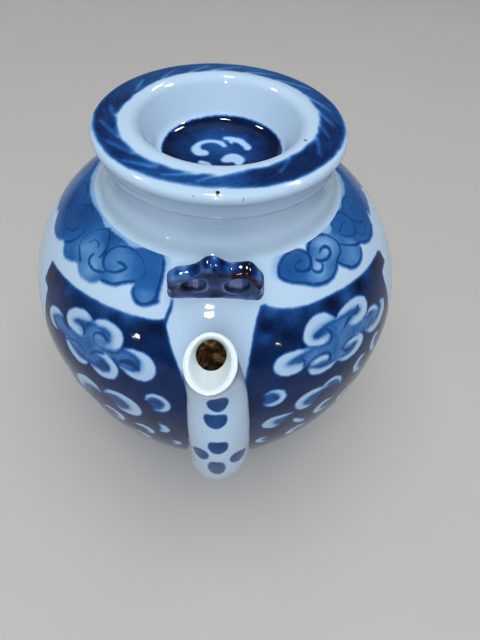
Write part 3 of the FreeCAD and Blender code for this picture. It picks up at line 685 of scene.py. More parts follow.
RIGHT_SCROLLS = [
    [(38, 25, 0.4), (36, 26, 1), (33.8, 26.8, 1.7), (31, 26.6, 2), (28.4, 25.4, 1.7), (27.4, 23.6, 1.4),
     (28.6, 21.9, 1.2), (31, 21.3, 1.1), (33.2, 21.6, 1), (34.4, 22.3, 0.6)],
    [(38.4, 24.8, 0.4), (40.5, 25.5, 0.9), (44, 25.7, 1.2), (47.6, 25.2, 1.5), (50.2, 23.6, 1.8),
     (50, 21.6, 1.7), (47.4, 20.8, 1.3), (44.4, 21.2, 1.1), (42.8, 21.6, 0.6)],
    [(27.4, 20.4, 0.4), (25, 20.7, 0.8), (22, 20.6, 1.1), (19.4, 19.9, 1.6), (18.2, 18.4, 1.9),
     (19.2, 16.9, 1.8), (21.6, 16.4, 1.6), (24, 16.6, 1.2), (25.2, 17.2, 0.7)],
    [(26.6, 14.8, 0.6), (28, 13.3, 1.1), (30.6, 12.4, 1), (33.4, 12.4, 0.8), (35.4, 13, 0.6)],
    [(27.6, 15.6, 0.7), (30, 16.1, 0.9), (32.2, 15.9, 0.9), (32.8, 15.2, 0.6)],
    [(36.4, 13.2, 0.5), (38.6, 11.9, 0.9), (41.6, 11.5, 1.1), (44.6, 12.4, 1.4), (46, 14, 1.5),
     (44.4, 15.5, 1.1), (41.6, 15.7, 0.8), (40.2, 15.4, 0.6)],
    [(49, 15.3, 0.4), (52, 13.4, 1.2), (56, 12.9, 1.5), (59.6, 14.2, 1.7), (61, 16.2, 1.3),
     (59.6, 17.6, 0.8)],
    [(50.5, 19.2, 0.4), (53, 19.5, 0.7), (55.4, 18.6, 0.9), (56.6, 17, 0.7)],
    [(13.6, 10.2, 0.3), (15.6, 10.9, 0.6), (18, 10, 0.9), (18.6, 8.2, 1.1), (17.4, 6.5, 1), (15.4, 6, 0.8),
     (13.6, 6.8, 0.4)],
    [(33, 4.6, 0.5), (30, 5.2, 0.9), (26.8, 5, 1.3), (24.2, 3.2, 1.5), (24.6, 0.6, 1.3), (26.6, -0.8, 0.9),
     (28.4, -0.6, 0.4)],
    [(31, 4.8, 0.4), (33, 6.2, 0.7), (35.8, 6.2, 0.8), (37.8, 4.4, 0.7), (38.2, 2, 0.4)],
    [(22.4, -1.4, 0.4), (19.5, -1.4, 0.9), (16.6, -2, 1.4), (15.4, -4, 1.9), (16.6, -6, 1.4),
     (18.6, -6.4, 0.6)],
    [(23.6, -5.4, 0.4), (24.8, -7.6, 1), (26.6, -9.8, 1.1), (28.2, -11.4, 0.5)],
    [(49, 6, 0.4), (46.5, 6.2, 0.9), (44.6, 4.4, 1.3), (45.4, 1.8, 1.1), (47.4, 0.4, 0.5)],
    [(57, 8, 0.4), (54.5, 8.6, 0.9), (52.8, 6.8, 1.3), (53.6, 4, 1), (55.4, 2.6, 0.4)],
    [(37, -5, 0.5), (34, -4.4, 1.1), (31.8, -6.6, 1.5), (33, -9.2, 1.2), (35.6, -9.6, 0.6)],
    [(48, -9, 0.5), (45, -8.2, 1.2), (42.4, -10.4, 1.6), (43.6, -13.2, 1.3), (46.4, -13.8, 0.6)],
    [(30, -16, 0.5), (27, -15.2, 1.1), (24.6, -17.2, 1.5), (25.8, -20, 1.2), (28.4, -20.4, 0.6)],
    [(58, -4, 0.5), (55.4, -4.8, 1.2), (54.6, -7.4, 1.4), (56.6, -9.4, 0.8)],
    [(16, -14, 0.5), (14.2, -16, 1.1), (14.8, -18.6, 1.1), (16.8, -20, 0.5)],
]
# Dark curls drawn inside the scrolls
LEFT_CURLS = [
    [(-43.6, 19.5, 0.2), (-41.8, 20.3, 0.55), (-40.2, 20.1, 0.7), (-39, 19, 0.6), (-38.9, 17.4, 0.3)],
    [(-31, 20.4, 0.75), (-32, 21.1, 0.7), (-33.6, 21.1, 0.5), (-35.2, 20.2, 0.4), (-35.6, 18.8, 0.35),
     (-34.6, 17.6, 0.35), (-32.8, 17.2, 0.35), (-30.6, 17.2, 0.4), (-28.2, 17.6, 0.45), (-26.4, 18.6, 0.4)],
    [(-26.6, 15.6, 0.4), (-24.6, 16.6, 0.9), (-22.6, 16.9, 1.2), (-20.9, 16.2, 1.1), (-20.8, 15.4, 0.4)],
    [(-36, 12.4, 0.3), (-34.8, 14.4, 0.45), (-33.2, 15.5, 0.5), (-31.4, 15.9, 0.35)],
    [(-33.2, 13.8, 0.25), (-31.4, 13.4, 0.6), (-29.9, 12.4, 0.9), (-29.5, 11.2, 0.5)],
    [(-46, 11.6, 0.3), (-44, 13, 0.45), (-41.6, 13.7, 0.5), (-38.8, 13.4, 0.5), (-37.2, 12, 0.3)],
    [(-42.4, 11.6, 0.2), (-40.6, 11.2, 0.5), (-39.2, 10.6, 0.3)],
    [(-52.6, 14.8, 0.2), (-51.2, 15.2, 0.4), (-49.8, 14.6, 0.3)],
    [(-28.4, -1, 0.3), (-26.4, 0.4, 0.8), (-24.6, -0.4, 0.9), (-24.8, -2, 0.4)],
    [(-16.8, 5.6, 0.5), (-15.2, 6.2, 1), (-14, 5.4, 0.9), (-14.6, 4.6, 0.5)],
]
RIGHT_CURLS = [
    [(30.2, 23.5, 0.35), (31.9, 24.2, 0.55), (33.9, 23.9, 0.6), (35.2, 22.4, 0.6), (35.3, 20.9, 0.55),
     (34, 19.8, 0.45), (31.9, 19.6, 0.4), (29.2, 20.2, 0.35), (27.4, 21, 0.2)],
    [(47.8, 23.8, 0.5), (46.8, 22.9, 0.75), (44.6, 23, 0.6), (42.7, 22.7, 0.65), (41.2, 21.9, 0.6),
     (40, 20.9, 0.35)],
    [(21, 18.6, 0.25), (22.8, 19, 0.55), (24.6, 18.6, 0.6), (25.5, 17.5, 0.5), (25, 16.2, 0.25)],
    [(26, 16, 0.3), (28, 17.3, 0.45), (30.6, 17.7, 0.5), (32.9, 17.2, 0.55), (34, 15.8, 0.6),
     (33.3, 14.5, 0.6), (31.6, 13.9, 0.5), (29.7, 14.4, 0.25)],
    [(38, 15.5, 0.5), (39.8, 16.6, 0.45), (42.4, 17, 0.4), (45.4, 16.3, 0.25)],
    [(38.2, 15.2, 0.4), (39.6, 14.2, 0.7), (41.2, 13.7, 0.7), (43.4, 13.7, 0.25)],
    [(55, 16.5, 0.25), (52.8, 16.2, 0.4), (50.8, 15.6, 0.45), (49.6, 14.6, 0.25)],
    [(57.4, 15, 0.2), (55.8, 15.2, 0.5), (54.2, 14.8, 0.25)],
    [(26.6, 0.6, 0.3), (27.8, 1.9, 0.5), (29.4, 1.4, 0.5), (29.8, -0.6, 0.3)],
    [(33.4, 3.2, 0.3), (35, 3.8, 0.7), (36.2, 2.6, 0.5), (35.4, 1, 0.3)],
    [(14.6, 8.6, 0.3), (16, 9, 0.8), (17, 8.2, 0.8), (16, 7.4, 0.3)],
]
# Paler cobalt between the scrolls
LEFT_FIELD = [
    (-49.4, 16.6), (-46, 15.6), (-42, 17.4), (-38.4, 20.6), (-36.8, 22.6), (-34.6, 23), (-30.4, 20),
    (-27, 19.4), (-23.4, 19.8), (-21, 18.8), (-21.4, 15), (-25.4, 14.4), (-28, 15.8), (-30, 14.6),
    (-33.8, 10.6), (-36.4, 10.4), (-41, 10), (-45.8, 12), (-50.4, 12.2), (-53.4, 13.6), (-52, 16.2),
]
RIGHT_FIELD = [
    (24.6, 17.2), (24.6, 20), (27.6, 20.4), (30, 22.4), (34.4, 24.8), (38, 25), (43, 24.2), (48.6, 23),
    (48, 20.4), (51, 19), (55.4, 18.2), (58.6, 16), (56, 14), (51, 14.4), (47.6, 15.6), (43.6, 15.2),
    (42, 12.6), (37, 12.8), (33, 13.2), (28.4, 14.2), (26.6, 16),
]
# Outlines of the cobalt panels
LEFT_PANEL = [
    (-64.2, 25.6), (-57, 26.4), (-50, 27.2), (-40, 28.3), (-30, 29.2), (-20, 29.9), (-16.6, 30.4),
    (-15.2, 31), (-14.2, 29.6), (-12.3, 25.5), (-9.6, 20), (-7.6, 16), (-6.2, 12), (-5.6, 4), (-5.6, -4),
    (-6, -12), (-7.4, -20), (-9, -30), (-11, -36), (-30, -36.6), (-50, -36), (-59.4, -34), (-60, -20),
    (-60, 0), (-60.2, 14), (-60.6, 18.4), (-64, 18.9),
]
RIGHT_PANEL = [
    (16, 35.2), (18, 34.2), (20, 33.5), (25, 32.6), (30, 32), (40, 31.5), (50, 30.5), (60, 29.5),
    (70, 28.6), (71.6, 27.6), (71.7, 23.6), (66.6, 23.3), (66, 21), (66, 10), (65.6, 0), (65, -20),
    (64.5, -34), (50, -36), (30, -36.6), (11, -36), (9, -30), (7.4, -20), (6.6, -10), (6.4, 0), (7, 10),
    (8.3, 16), (9.8, 23), (11.2, 28.5), (12.8, 32.4), (14.5, 35),
]
# A tail of cobalt that runs up from the left panel's corner
PANEL_TAILS = [[(-14.6, 29.5, 0.4), (-14.3, 32, 0.45), (-13.8, 34, 0.45), (-13.8, 35.8, 0.3)]]
# Light and dark dabs in the panels: degrees round, millimetres up, size and how much darker
DABS = [
    (38.3, 28.9, 2.1, 0.2), (51.7, 28.3, 1.9, 0.2), (15.3, 29.5, 1.9, 0.2), (-17, 28.6, 2.4, 0.16),
    (-60, 23, 4, 0.12), (66, 27, 3.2, 0.12), (44.8, 28.6, 2.6, -0.26), (17.4, 33.4, 2.4, -0.24),
    (32.5, 30.6, 2.4, -0.14), (25, 31.6, 2.6, -0.12), (57.5, 28.4, 2.8, -0.14), (-33, 28, 3.4, -0.18),
    (-26, 28.8, 2.2, -0.18), (-42, 27.2, 2.6, -0.12), (14.6, 27, 2.2, -0.16), (-50, 25.6, 3, -0.14),
    (-24.5, 18, 2.6, -0.22), (-33, 20, 2.2, -0.3), (12, 22, 3, 0.08), (-12, 22, 3, 0.06),
    (21, 26, 2.6, 0.08), (-30, 26, 2, 0.12), (-21, 24.6, 2, 0.1), (-55, 21, 2.4, -0.1),
]
# Cloud bands round the shoulder: wash outlines, then the darker lines drawn on them
LEFT_CLOUD = [
    (-31, 46.2), (-26, 46.4), (-22.6, 46.1), (-20.6, 44.4), (-19.7, 42), (-19.4, 38.6), (-19.3, 35.6),
    (-20, 34), (-21.6, 33.1), (-23.6, 32.7), (-25.6, 33), (-26.9, 34), (-27.9, 35.5), (-28.2, 36.8),
    (-29.6, 37), (-31.6, 36), (-34.5, 34.3), (-37.4, 33.7), (-39.8, 33.6), (-40.7, 32.5), (-42, 31.6),
    (-44, 30.9), (-47.4, 30.6), (-49.6, 31), (-51, 31.8), (-52.1, 32.5), (-53.6, 32.1), (-55.6, 31.2),
    (-58.3, 30.3), (-60.7, 30.2), (-62.4, 31.2), (-63.8, 32.5), (-65.6, 32), (-67.6, 30.8), (-70.2, 29.9),
    (-73, 29.4), (-76, 29.5), (-79, 30.4), (-82, 31.6), (-85, 31), (-88, 30.2), (-97, 30.4), (-97, 44),
    (-85, 44.6), (-78.8, 44.6), (-72, 45), (-66, 45.4), (-58.3, 45.6), (-54, 44.9), (-52.6, 44.4),
    (-49.3, 45.2), (-44.5, 45.4), (-40.2, 45.3), (-36.5, 44.8), (-34, 45.2),
]
LEFT_CLOUD_LINES = [
    [(-22.8, 46, 0.3), (-21.2, 44.9, 0.45), (-20, 42.8, 0.5), (-19.5, 40, 0.5), (-19.3, 37.4, 0.5),
     (-19.3, 35.4, 0.6), (-19.2, 34.8, 0.7)],
    [(-19.4, 34.6, 0.6), (-21.2, 33.5, 0.45), (-23.6, 32.9, 0.45), (-25.7, 33.6, 0.45), (-27, 35, 0.5),
     (-27.3, 36, 0.35)],
    [(-37.6, 39.7, 0.3), (-36.4, 39.9, 0.5), (-34.6, 39.9, 0.55), (-33.2, 39.4, 0.45), (-34, 38.6, 0.45),
     (-36.4, 37.2, 0.45), (-39.4, 36.5, 0.4), (-42, 37.1, 0.45), (-43.5, 38.8, 0.5), (-43.4, 41, 0.45),
     (-41.4, 42.9, 0.4), (-37.2, 44.1, 0.35), (-32.6, 44.1, 0.35), (-28.4, 42.7, 0.35),
     (-26, 40.6, 0.35), (-26, 38.8, 0.3), (-28.4, 37.4, 0.35), (-31.6, 36.2, 0.4), (-34.5, 34.6, 0.4),
     (-38, 34, 0.4), (-40, 33.7, 0.3)],
    [(-50.2, 44.9, 0.3), (-48.6, 44.2, 0.5), (-47, 43.2, 0.6), (-45.4, 41.6, 0.5), (-44.6, 39.6, 0.5),
     (-45.2, 38, 0.4)],
    [(-48.4, 37.6, 0.3), (-48.8, 36.2, 0.4), (-47.6, 34.9, 0.4), (-44.6, 34.5, 0.35), (-41.4, 35.2, 0.35),
     (-39.6, 36, 0.25)],
    [(-55.4, 41.6, 0.2), (-53.6, 43.4, 0.3), (-51.2, 44.4, 0.35), (-49, 44.4, 0.4)],
    [(-53.4, 38.8, 0.15), (-52.4, 40.2, 0.2), (-50, 40.6, 0.25), (-48.4, 39.6, 0.2)],
    [(-56.6, 40.4, 0.2), (-57.6, 38.4, 0.25), (-56.4, 36, 0.3), (-53.6, 34.6, 0.4), (-51.8, 33.7, 0.6)],
    [(-73.2, 41.4, 0.5), (-70.4, 43.5, 0.5), (-67.2, 44.2, 0.5), (-63.6, 43.6, 0.45), (-60.6, 41.8, 0.4),
     (-59.4, 39, 0.4), (-60, 36.4, 0.4), (-62, 34, 0.5), (-63.8, 32.8, 0.5)],
    [(-68, 38.7, 0.3), (-66.6, 39.7, 0.45), (-64.8, 39.4, 0.5), (-63.8, 37.9, 0.5), (-65, 36.1, 0.5),
     (-68.4, 34.9, 0.4)],
    [(-72.6, 40.6, 0.4), (-73.4, 38, 0.4), (-71.6, 35.6, 0.4), (-69, 33.6, 0.35), (-66.4, 32.4, 0.3)],
    [(-84, 39.2, 0.4), (-81.6, 40.2, 0.5), (-78.8, 40, 0.45), (-77.6, 38.2, 0.4), (-79, 36.2, 0.4)],
    [(-88, 42, 0.4), (-84, 43.4, 0.45), (-79, 43.4, 0.45), (-75.6, 41.4, 0.45), (-75, 38.6, 0.4),
     (-76.4, 35.4, 0.35), (-79, 33, 0.35)],
]
RIGHT_CLOUD = [
    (23.3, 41.5), (24.2, 42.9), (25.8, 44.3), (29, 45.6), (32.8, 46.1), (36.4, 45.4), (38.4, 44.4),
    (40.6, 45.6), (44.7, 46.4), (49, 46.2), (52.3, 45), (55, 44.6), (58, 45.6), (62, 46.3), (67, 46.2),
    (72, 45.6), (77, 45.6), (83, 45), (97, 44.4), (97, 34), (86, 34), (82.8, 35.4), (79, 33.8), (74.2, 32.8),
    (69.9, 33), (66.6, 34.1), (63.7, 36.2), (62.3, 35.6), (61.3, 34.2), (59, 33), (56.1, 32.6),
    (53.2, 33.2), (50.9, 34.9), (48.6, 36.9), (47.5, 37.4), (45.1, 36), (42.3, 35), (39, 34.8),
    (34.7, 35.7), (31.8, 37.1), (28.5, 38.2), (25.1, 39.6), (23.7, 40.4),
]
RIGHT_CLOUD_LINES = [
    [(23.6, 41, 0.4), (24.2, 42.6, 0.4), (25.8, 44.1, 0.45), (28.8, 45.4, 0.4), (32.8, 45.8, 0.4),
     (36.2, 45.1, 0.45), (38.1, 43.5, 0.5), (37.8, 41.5, 0.5), (35.6, 40, 0.5), (32.4, 40.2, 0.5),
     (30.5, 41.4, 0.5), (31.3, 42.5, 0.45), (33.6, 42.8, 0.45), (35, 42.4, 0.3)],
    [(23.6, 40.8, 0.4), (26.4, 39.2, 0.45), (29.8, 38, 0.4), (31.6, 37.4, 0.45), (34.7, 36, 0.45),
     (38.5, 35.1, 0.45), (42.6, 35.2, 0.4), (46, 36.4, 0.4), (48.4, 37.9, 0.45), (52.4, 39, 0.35),
     (54, 41, 0.3), (53.4, 43, 0.3), (51.6, 44.9, 0.3), (48.6, 46, 0.35), (44.6, 46.2, 0.35),
     (41.2, 45.4, 0.45), (39, 43.9, 0.5), (38.6, 42.4, 0.4)],
    [(43.4, 42.1, 0.25), (45, 42.8, 0.35), (47.2, 42.7, 0.4), (48.5, 41.7, 0.4), (47.4, 40.3, 0.4),
     (44.6, 39.8, 0.4), (41.6, 40.4, 0.35), (40.2, 41.2, 0.25)],
    [(37.2, 40.2, 0.1), (36.8, 39.2, 0.2), (38.2, 38.2, 0.3), (40.4, 38.2, 0.3), (41.6, 39.2, 0.2),
     (41.2, 40.3, 0.1)],
    [(48, 37.5, 0.45), (50.2, 35.5, 0.45), (53, 33.5, 0.45), (57, 32.9, 0.35), (60.2, 33.6, 0.35),
     (62, 35, 0.3)],
    [(54.6, 40.3, 0.3), (58, 38.2, 0.35), (61.6, 36.5, 0.4), (64, 36, 0.45), (67.4, 34.2, 0.45),
     (72.6, 33.1, 0.45), (78, 33.6, 0.4)],
    [(66.2, 42.5, 0.3), (64.6, 43, 0.4), (61.8, 43, 0.4), (58.6, 42.4, 0.35), (59.4, 40.8, 0.4),
     (62.8, 39, 0.4), (66, 38.6, 0.45), (69, 40, 0.45), (70.2, 42.6, 0.45), (69, 45, 0.4),
     (65.4, 46.1, 0.35), (61, 46, 0.3), (58, 45.2, 0.25)],
    [(66.4, 38.4, 0.4), (67.6, 36.5, 0.4), (70.8, 35.4, 0.4), (74, 36.2, 0.35), (75.4, 37.2, 0.25)],
    [(79.8, 41.6, 0.25), (77.6, 42.3, 0.4), (74.8, 41.5, 0.4)],
    [(70.4, 42.4, 0.4), (70.9, 40, 0.45), (73.7, 37.7, 0.45), (77.5, 37, 0.4), (81, 38.4, 0.35)],
    [(71.4, 44, 0.3), (74, 45, 0.35), (78, 45.2, 0.35), (82.4, 44.2, 0.35), (84.6, 41.8, 0.35)],
    [(84, 36, 0.4), (86.6, 37.6, 0.4), (89.4, 38, 0.35)],
]
# Angles about which the left's and the right's scrolls are mirrored to the back, each set a little apart
SCROLL_MIRRORS = (-87.0, 89.0)
# How dark the cobalt is: in the panels, less at their edges, in the clouds and in the haze round those
PANEL_TONE = 0.86
PANEL_EDGE_FADE = 0.16
CLOUD_TONE = 0.52
CLOUD_HAZE = 0.22
# Light and dark places in the cloud wash
CLOUD_DABS = [
    (-24, 40, 4, 0.06), (-45, 35.4, 2.4, -0.16), (-47, 32, 3, -0.14), (-34, 36.6, 2.4, -0.16),
    (-38, 41, 3, -0.1), (-50, 39, 3.4, -0.14), (-54, 36.5, 2.4, -0.14), (-68, 41, 4, 0.12),
    (-70, 35, 4, 0.04), (-82, 38, 7, 0.12), (-46, 43.6, 2.6, 0.12), (-61, 42, 3, 0.08),
    (-22.5, 35, 2, -0.1), (28, 42, 3.4, 0.08), (34, 44, 2, 0.06), (40, 39.4, 2.2, -0.32),
    (50, 42.6, 3, -0.2), (45.5, 41, 2.2, -0.16), (38, 36.6, 3.2, -0.14), (56, 35.6, 3.4, -0.16),
    (64, 41, 3.6, 0.05), (72, 38, 4, 0.04), (46, 44.6, 2.6, -0.14), (60, 38, 2, -0.1),
    (82, 40, 6, 0.06),
]


def pot_skin(piece):
    """Where the points of the two body pieces lie, measured up or down from the widest line."""
    x, y, z = points_of(piece).T
    radius = np.hypot(x, y)

    def about(centre, size):
        """How far along an arc each point lies, from where the arc is upright, and how far off it."""
        across = radius - centre[0]
        rise = z - centre[1]
        return size * np.arctan2(rise, across), np.hypot(across, rise) - size

    over, from_dome = about(DOME_CENTRE, DOME_ROUND)
    under, from_side = about(SIDE_CENTRE, SIDE_ROUND)
    heel, from_heel = about(HEEL_CENTRE, HEEL_ROUND)
    high = z >= BELLY_LINE
    side = under > -SIDE_ROUND * SIDE_TURN
    on_heel = heel + (HEEL_ROUND - SIDE_ROUND) * SIDE_TURN
    up = np.where(high, over, np.where(side, under, on_heel))
    away = np.where(high, from_dome, np.where(side, from_side, from_heel))

    def girth(height):
        if height >= 0:
            reach = DOME_CENTRE[0] + DOME_ROUND * math.cos(height / DOME_ROUND)
        else:
            reach = SIDE_CENTRE[0] + SIDE_ROUND * math.cos(height / SIDE_ROUND)
        return math.radians(reach)

    return Skin(np.degrees(np.arctan2(x, -y)), up, np.abs(away) < 0.3, girth)


def dabbed(skin, dabs):
    """The sum of soft round dabs of lighter or darker colour."""
    amount = np.zeros(len(skin.up))
    for around, up, size, strength in dabs:
        across = ((skin.around - around + 180) % 360 - 180) * skin.girth(up)
        amount += strength * np.exp(-(across**2 + (skin.up - up) ** 2) / size**2)
    return amount


def paint_pot(piece):
    """Panels with white scrolls round the belly, and cloud bands round the shoulder."""
    skin = pot_skin(piece)
    scrolls = all_round(LEFT_SCROLLS, RIGHT_SCROLLS, *SCROLL_MIRRORS)
    curls = all_round(LEFT_CURLS, RIGHT_CURLS, *SCROLL_MIRRORS)
    fields = all_round([LEFT_FIELD], [RIGHT_FIELD], *SCROLL_MIRRORS)
    panel = filled(skin, all_round([LEFT_PANEL], [RIGHT_PANEL]))
    panel = np.maximum(panel, brushed(skin, PANEL_TAILS))
    white, blue = scrolled(skin, scrolls)
    ground = np.minimum(panel, -0.85 * white)
    cup = filled(skin, [[point[:2] for point in stroke] for stroke in scrolls])
    field = filled(skin, fields)
    pale = 0.40 * np.maximum(ease(field, -1.0, 1.2), 0.6 * ease(cup, -0.6, 1.0))
    tone = PANEL_TONE + (1 - 2 * pale) * dabbed(skin, DABS) - pale
    tone = tone - PANEL_EDGE_FADE * ease(-panel, -1.4, 0.0)
    cloud = filled(skin, all_round([LEFT_CLOUD], [RIGHT_CLOUD]))
    line = brushed(skin, all_round(LEFT_CLOUD_LINES, RIGHT_CLOUD_LINES))
    haze = CLOUD_HAZE * ease(cloud, -3.4, 0.3) * ease(skin.up, 38.0, 44.0)
    left = blue * ease(panel, -0.3, 0.6) * ease(white, -0.9, -0.2)
    curl = np.minimum(brushed(skin, curls), panel)
    keep(
        piece,
        ground=ground,
        tone=tone,
        shade=np.maximum(left, haze),
        cloud=np.minimum(cloud, DEEPEST),
        wash=CLOUD_TONE + dabbed(skin, CLOUD_DABS),
        line=np.maximum(line + 0.2, curl + 0.1),
        speck=np.full(len(skin.up), UNPAINTED),
    )


# The lid's band: its edges as (degrees round, distance from the axis), and the light leaf strokes in it
BAND_OUTSIDE = [
    (-180, 32.8), (-130, 32.8), (-90, 32.6), (-75, 32.3), (-45, 31.6), (-30, 31), (-10, 30.5), (5, 30.5),
    (14, 30.9), (30, 31.2), (45, 31.5), (75, 32.3), (90, 32.6), (130, 32.8), (180, 32.8),
]
BAND_INSIDE = [
    (-180, 25.2), (-165, 24.6), (-150, 24.4), (-130, 24.3), (-106, 24.4), (-98, 25.2), (-88, 26),
    (-75, 26.1), (-62, 26.3), (-46, 26.7), (-30, 26.2), (-14, 26), (0, 26), (8, 25.5), (15, 24.8),
    (30, 25), (45, 24.6), (60, 24.7), (68, 25.2), (80, 25.2), (95, 25.7), (110, 26), (128, 26.2),
    (150, 25.4), (180, 25.2),
]
LEAF_STROKES = [
    [(-97, 29, 0.05), (-91, 27.7, 0.2), (-85, 26.5, 0.26)],
    [(-83, 30.2, 0.05), (-74, 28.3, 0.22), (-64, 27, 0.26)],
    [(-64, 29.8, 0.05), (-55, 28.1, 0.26), (-47, 27.2, 0.28)],
    [(-46, 30.2, 0.05), (-39, 28.7, 0.22), (-31, 27.5, 0.26)],
    [(-25, 29, 0.05), (-17, 27.3, 0.2), (-10, 26.2, 0.28)],
    [(-9, 28.6, 0.05), (-4, 27.2, 0.2), (2, 25.9, 0.28)],
    [(31, 27.6, 0.05), (37, 26.1, 0.14), (42, 24.9, 0.2)],
    [(57, 28.8, 0.05), (64, 26.8, 0.2), (69, 25.6, 0.28)],
    [(74, 28.2, 0.05), (79, 26.7, 0.26), (84, 25.5, 0.3)],
    [(86, 29, 0.05), (93, 27.2, 0.3), (100, 26, 0.36)],
    [(101, 29.8, 0.05), (110, 27.8, 0.34), (119, 26.4, 0.38)],
    [(126, 30.4, 0.05), (134, 28.4, 0.34), (143, 26.6, 0.36)],
    [(148, 29.8, 0.05), (156, 27.8, 0.3), (164, 26, 0.34)],
    [(170, 29.6, 0.05), (178, 27.6, 0.28), (186, 25.8, 0.32)],
    [(-172, 29.4, 0.05), (-165, 27.2, 0.28), (-159, 25.4, 0.32)],
    [(-152, 29, 0.05), (-145, 27, 0.26), (-139, 25.3, 0.32)],
    [(-130, 28.8, 0.05), (-123, 27, 0.24), (-117, 25.6, 0.3)],
]
# How dark the band is at each angle round
BAND_TONE = [
    (-180, 0.6), (-140, 0.66), (-110, 0.74), (-90, 0.82), (-60, 0.8), (-40, 0.74), (-20, 0.68), (0, 0.64),
    (12, 0.7), (22, 0.84), (50, 0.86), (75, 0.84), (95, 0.74), (120, 0.68), (150, 0.62), (180, 0.6),
]
# Brush marks in the band slant like the leaves: so many millimetres inwards to a degree round
LEAF_SLANT = 0.16
# How many times each brush mark, and each wave of the band's edge, comes round the lid
LEAF_MARKS = (23, 37, 59)
EDGE_WAVES = (5, 9, 16, 29)
# White scrolls on the well's floor, seen from above in millimetres
FLOOR_SCROLLS = [
    [(-4.4, -1.8, 1.5), (-5.8, -1.7, 1.8), (-6.6, -0.1, 1.4), (-6, 2, 0.95), (-4.4, 3.4, 0.8),
     (-2.2, 4, 0.8), (0, 3.5, 0.95), (1, 2.2, 0.85)],
    [(1.4, 5.6, 0.8), (3.2, 5.2, 1.2), (5.4, 4.3, 1.2), (7, 2.4, 1.1), (7.7, 0.9, 1.1)],
    [(3, 4.2, 0.8), (3.2, 3.4, 0.5)],
    [(1.8, -4.8, 1.5), (3.4, -3.8, 2.3), (5, -4.8, 1.9), (5.2, -6.4, 1.2)],
    [(-4.8, -6.6, 1), (-3.2, -7.1, 0.8), (-2.4, -8.2, 0.5)],
    [(-6.4, -9, 0.7), (-3.8, -10.6, 1.2), (-0.4, -10.4, 1), (1.6, -9, 0.6)],
]
# Iron specks burnt through the glaze: degrees round, distance from the axis, size
LID_SPECKS = [(0.2, 31.6, 0.5), (0.1, 32.2, 0.4), (63, 23.6, 0.4), (10, 33.1, 0.16), (-9, 32.9, 0.1)]
# The blue disc on the floor stops short of its edge and sits off the middle, and so do the scrolls on it
DISC_SHORT = 0.35
DISC_MIDDLE = (0.5, 0.4)
SCROLLS_BACK = 2.1
# How dark the floor is, how much lighter the leaves are, and how the band fades towards its edges
FLOOR_TONE = 0.82
LEAF_LIGHT = 0.24
BAND_FADE = 0.36


def edge_at(edge, around):
    """A band's edge at each angle round the lid."""
    table = np.array(edge, float)
    return np.interp(around, table[:, 0], table[:, 1])


def ripples(around, counts):
    """The sum of waves that come round the lid so many times each."""
    return sum(np.sin(np.radians(count * around) + count) for count in counts)


def paint_lid(piece):
    """A dark band of slanting leaf strokes on the rim, and a scrolled disc on the well's floor."""
    x, y, z = points_of(piece).T
    radius = np.hypot(x, y)
    around = np.degrees(np.arctan2(x, -y))
    top = z > SEAT + 5
    rim = top & (radius > WELL_MOUTH - 3)
    floor = (z < WELL_FLOOR + 2.5) & (z > WELL_FLOOR - 2.0) & (radius < WELL_FLOOR_RADIUS + 2)

    waver = 0.07 * ripples(around, EDGE_WAVES)
    inside = radius - edge_at(BAND_INSIDE, around) + waver
    band = np.minimum(edge_at(BAND_OUTSIDE, around) - radius + 0.6 * waver, inside)
    leaf = brushed(Skin(around, radius, rim, math.radians), LEAF_STROKES)
    marks = 0.014 * ripples(around + radius / LEAF_SLANT, LEAF_MARKS)
    fade = BAND_FADE * ease(-band, -1.3, 0.2) + LEAF_LIGHT * ease(leaf, -0.9, 0.3)
    band_tone = edge_at(BAND_TONE, around) + marks - fade

    disc = WELL_FLOOR_RADIUS - DISC_SHORT - np.hypot(x - DISC_MIDDLE[0], y - DISC_MIDDLE[1])
    within = ease(disc, -0.2, 0.2)
    scroll = brushed(Skin(x, y - SCROLLS_BACK, floor, flat), FLOOR_SCROLLS)
    disc = np.minimum(disc, -0.9 * scroll)
    middle = np.exp(-((x - 1) ** 2 + (y - 5) ** 2) / 60.0)
    floor_tone = FLOOR_TONE + 0.2 * ease(radius, 9.0, 16.0) - 0.18 * middle
    floor_shade = within * (0.06 + 0.12 * ease(-scroll, -0.9, 0.1))

    ground = np.where(rim, band, np.where(floor, disc, UNPAINTED))
    bare = np.full(len(x), UNPAINTED)
    speck = bare
    for turn, reach, size in LID_SPECKS:
        angle = math.radians(turn)
        apart = np.hypot(x - math.sin(angle) * reach, y + math.cos(angle) * reach)
        speck = np.where(top, np.maximum(speck, size - apart), speck)
    keep(
        piece,
        ground=np.clip(ground, UNPAINTED, DEEPEST),
        tone=np.where(floor, floor_tone, band_tone),
        shade=np.where(floor, floor_shade, 0.0),
        cloud=bare,
        wash=np.zeros(len(x)),
        line=bare,
        speck=speck,
    )


# Dots down the front of the spout, seen from straight ahead, with a slanting oval each side of the lowest:
# across, up, half width, half height, the height at which it is cut off flat, and its lean to the side
SPOUT_DOTS = [
    (1.3, 83.9, 2.3, 2.4, 86.4, 0), (0.9, 79.2, 2.6, 2.5, 80.6, 0), (1.6, 70.7, 2.3, 2.8, 72.5, 0),
    (1.4, 59.6, 2.15, 4.9, 63.8, 0), (-2.4, 65.2, 1.75, 2.8, FAR, 0.25), (6.4, 63.1, 1.75, 2.9, FAR, -0.25),
]
# How far the corners of a dot's flat top are rounded
DOT_CORNER = 0.8


